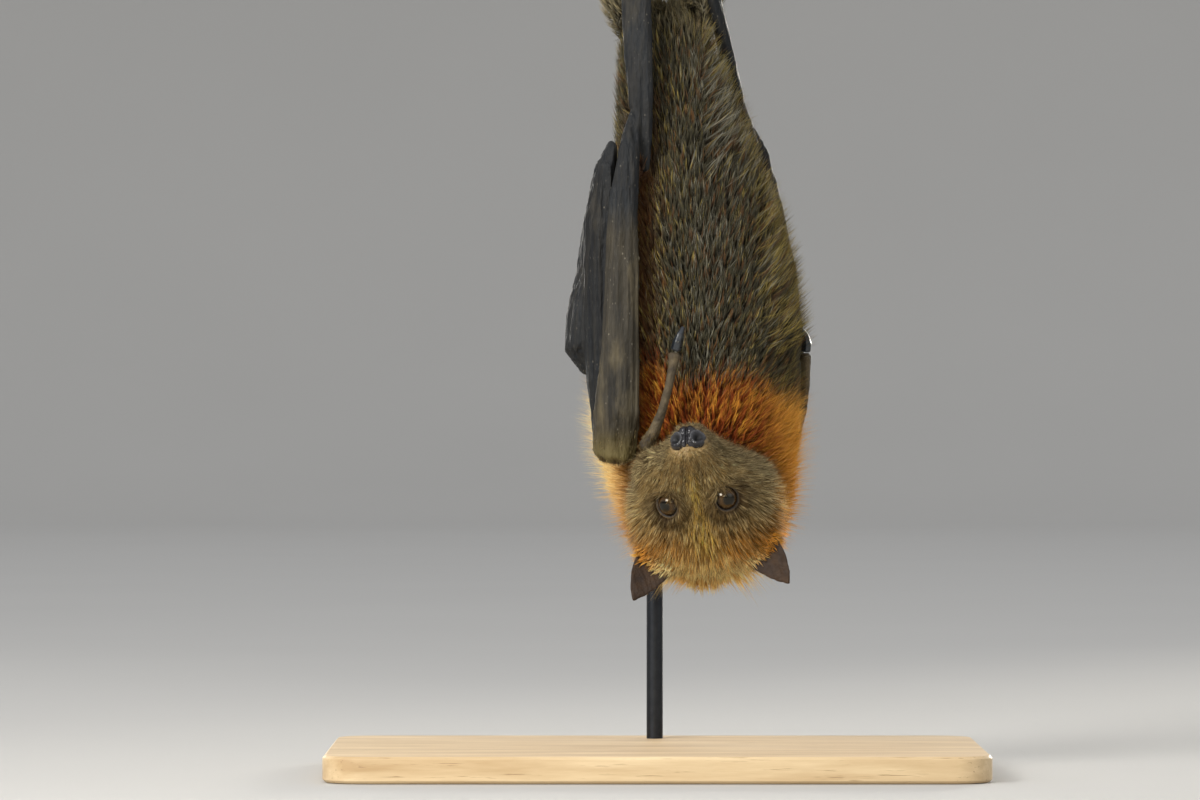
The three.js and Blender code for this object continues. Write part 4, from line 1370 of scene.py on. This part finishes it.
def steel_finish():
    """Dark satin steel."""
    steel = Finish("dark steel")
    tone = steel.noise(260, 4)
    colour = steel.mix(tone, paint("24262a"), paint("3a3d42"))
    return steel.surface(base_color=colour, roughness=steel.noise(500, 3) * 0.2 + 0.3, metallic=0.9,
                         normal=steel.bump(steel.noise(1200, 3), 0.0001, 0.3))


def rod():
    """The stand's rod, round all along."""
    rounded = remeshed(copies("stand_rod", swell=0.25 * MM), 1.3 * MM, 12)
    return object_of("stand_post", rounded, steel_finish(), "dark_steel", "stand_rod")


def oak_finish():
    """Limed oak: pale, with long grain and darker pores."""
    oak = Finish("oak")
    along = (0.1, 1, 1)
    grain = oak.noise(110, 6, 0.6, along)
    pores = oak.noise(900, 3, 0.7, (0.04, 1, 1))
    colour = oak.tones(grain, "b89a70", "dcc49c", 0.3, 0.7)
    pored = oak.mix(pores.between(0.62, 0.72), colour, paint("8c6c48"))
    return oak.surface(base_color=pored, roughness=grain * 0.2 + 0.4, normal=oak.bump(pores, 0.0002, 0.5))


def base():
    """The stand's flat base with eased edges."""
    board = copies("stand_base")
    level = [edge for edge in board.edges if edge.is_manifold and edge.calc_face_angle(0) < 0.01]
    bmesh.ops.dissolve_edges(board, edges=level, use_verts=True)
    settings = {"width": 1.6 * MM, "segments": 4, "limit_method": "ANGLE", "angle_limit": 0.6}
    rounded = modified(board, ("BEVEL", settings))
    return object_of("stand_board", rounded, oak_finish(), "oak", "stand_base")


# ---------------------------------------------------------------- studio and camera

VIEW_CENTRE = Vector((-25.7 * MM, -35 * MM, 170.9 * MM))
VIEW_WIDTH = 545 * MM
VIEW_DISTANCE = 3.0
SENSOR = 36.0
FLOOR_Z = -0.0003  # just under the stand, so the two don't flicker
FLOOR_RADIUS = 6.0
BACKDROP_CURVE = 1.6


def paper_finish():
    """Matt pale grey studio paper."""
    paper = Finish("studio paper")
    colour = paper.shade(paint("b9b7b2")[:3], paper.noise(3, 2) * 0.04 + 0.98)
    return paper.surface(base_color=colour, roughness=0.9)


def studio_bowl():
    """A pale floor that curves up all round into a plain backdrop."""
    turns = [math.radians(5 * k) for k in range(19)]
    profile = [(FLOOR_RADIUS + BACKDROP_CURVE * math.sin(t), BACKDROP_CURVE * (1 - math.cos(t))) for t in turns]
    bowl = bmesh.new()
    centre = bowl.verts.new((0, 0, FLOOR_Z))
    steps = 96
    around = [2 * math.pi * k / steps for k in range(steps)]
    rows = [[bowl.verts.new((r * math.cos(a), r * math.sin(a), z + FLOOR_Z)) for a in around] for r, z in profile]
    for k in range(steps):
        after = (k + 1) % steps
        bowl.faces.new((centre, rows[0][k], rows[0][after]))
        for low, high in zip(rows, rows[1:]):
            bowl.faces.new((low[k], high[k], high[after], low[after]))
    mesh = bpy.data.meshes.new("studio_floor")
    bowl.to_mesh(mesh)
    bowl.free()
    mesh.polygons.foreach_set("use_smooth", np.full(len(mesh.polygons), True))
    mesh.materials.append(paper_finish())
    floor = bpy.data.objects.new("studio_floor", mesh)
    bpy.context.scene.collection.objects.link(floor)


def lamp(name, place, target, size, power, colour, beam=180):
    """A soft box that points at a target."""
    data = bpy.data.lights.new(name, "AREA")
    data.spread = math.radians(beam)
    data.shape = "RECTANGLE"
    data.size, data.size_y = size
    data.energy = power
    data.color = colour
    light = bpy.data.objects.new(name, data)
    light.location = place
    light.rotation_euler = (Vector(target) - Vector(place)).to_track_quat("-Z", "Y").to_euler()
    bpy.context.scene.collection.objects.link(light)


def studio():
    """The floor, the lamps and the room's own light."""
    studio_bowl()
    bat = (0, 0, 0.22)
    lamp("key", (-1.3, -1.5, 1.2), bat, (0.9, 0.8), 51, (1, 0.98, 0.95))
    lamp("fill", (1.7, -1.4, 0.7), bat, (1.2, 1.2), 3, (0.95, 0.97, 1))
    lamp("rim_right", (1.0, 2.4, 0.5), bat, (0.5, 0.5), 1.2, (1, 0.94, 0.82), 25)
    lamp("rim_left", (-1.0, 2.4, 0.5), bat, (0.5, 0.5), 0.3, (1, 0.96, 0.88), 25)
    lamp("catchlight", (-0.1, -2.75, 0.74), bat, (1.2, 0.28), 8, (1, 0.88, 0.6))
    lamp("above", (0, 0, 4.4), bat, (6.0, 6.0), 24, (1, 1, 1))
    world = bpy.data.worlds.new("studio air")
    bpy.context.scene.world = world
    world.use_nodes = True
    background = world.node_tree.nodes["Background"]
    background.inputs["Color"].default_value = (0.93, 0.95, 1, 1)
    background.inputs["Strength"].default_value = 0.7
    bpy.context.scene.view_settings.view_transform = "Standard"


def camera():
    """A long lens in front of the face, level with the chest."""
    data = bpy.data.cameras.new("camera")
    data.sensor_width = SENSOR
    data.lens = SENSOR * VIEW_DISTANCE / VIEW_WIDTH
    eye_point = bpy.data.objects.new("camera", data)
    eye_point.location = VIEW_CENTRE - Vector((0, VIEW_DISTANCE, 0))
    eye_point.rotation_euler = (math.pi / 2, 0, 0)
    bpy.context.scene.collection.objects.link(eye_point)
    bpy.context.scene.camera = eye_point


# ---------------------------------------------------------------- all of it

body, head = body_form(), head_form()
body_tree = BVHTree.FromBMesh(body_skin(body))
head_tree = BVHTree.FromBMesh(head_skin(head))
bare_wings = bare_trees(*BARE_PARTS)
bare_ears = bare_trees("ear_left", "ear_right")
fur = fur_finish()

skin()
nose_pad = nose()
horn = claw_finish()
for side_name in SIDES:
    eyeball(side_name)
    ear(side_name)
    wing(side_name)
    thumb(side_name)
    claw(f"thumb_claw_{side_name}", horn, 0.3 * MM)
    for toe in TOES:
        claw(f"claw_{toe}_{side_name}", horn)
    ear_coat(side_name)
    wrist_coat(side_name)
head_coat(head, nose_pad)
body_coat(body)
flank_coat(body)
limb_coat()
perch()
rod()
base()
studio()
camera()
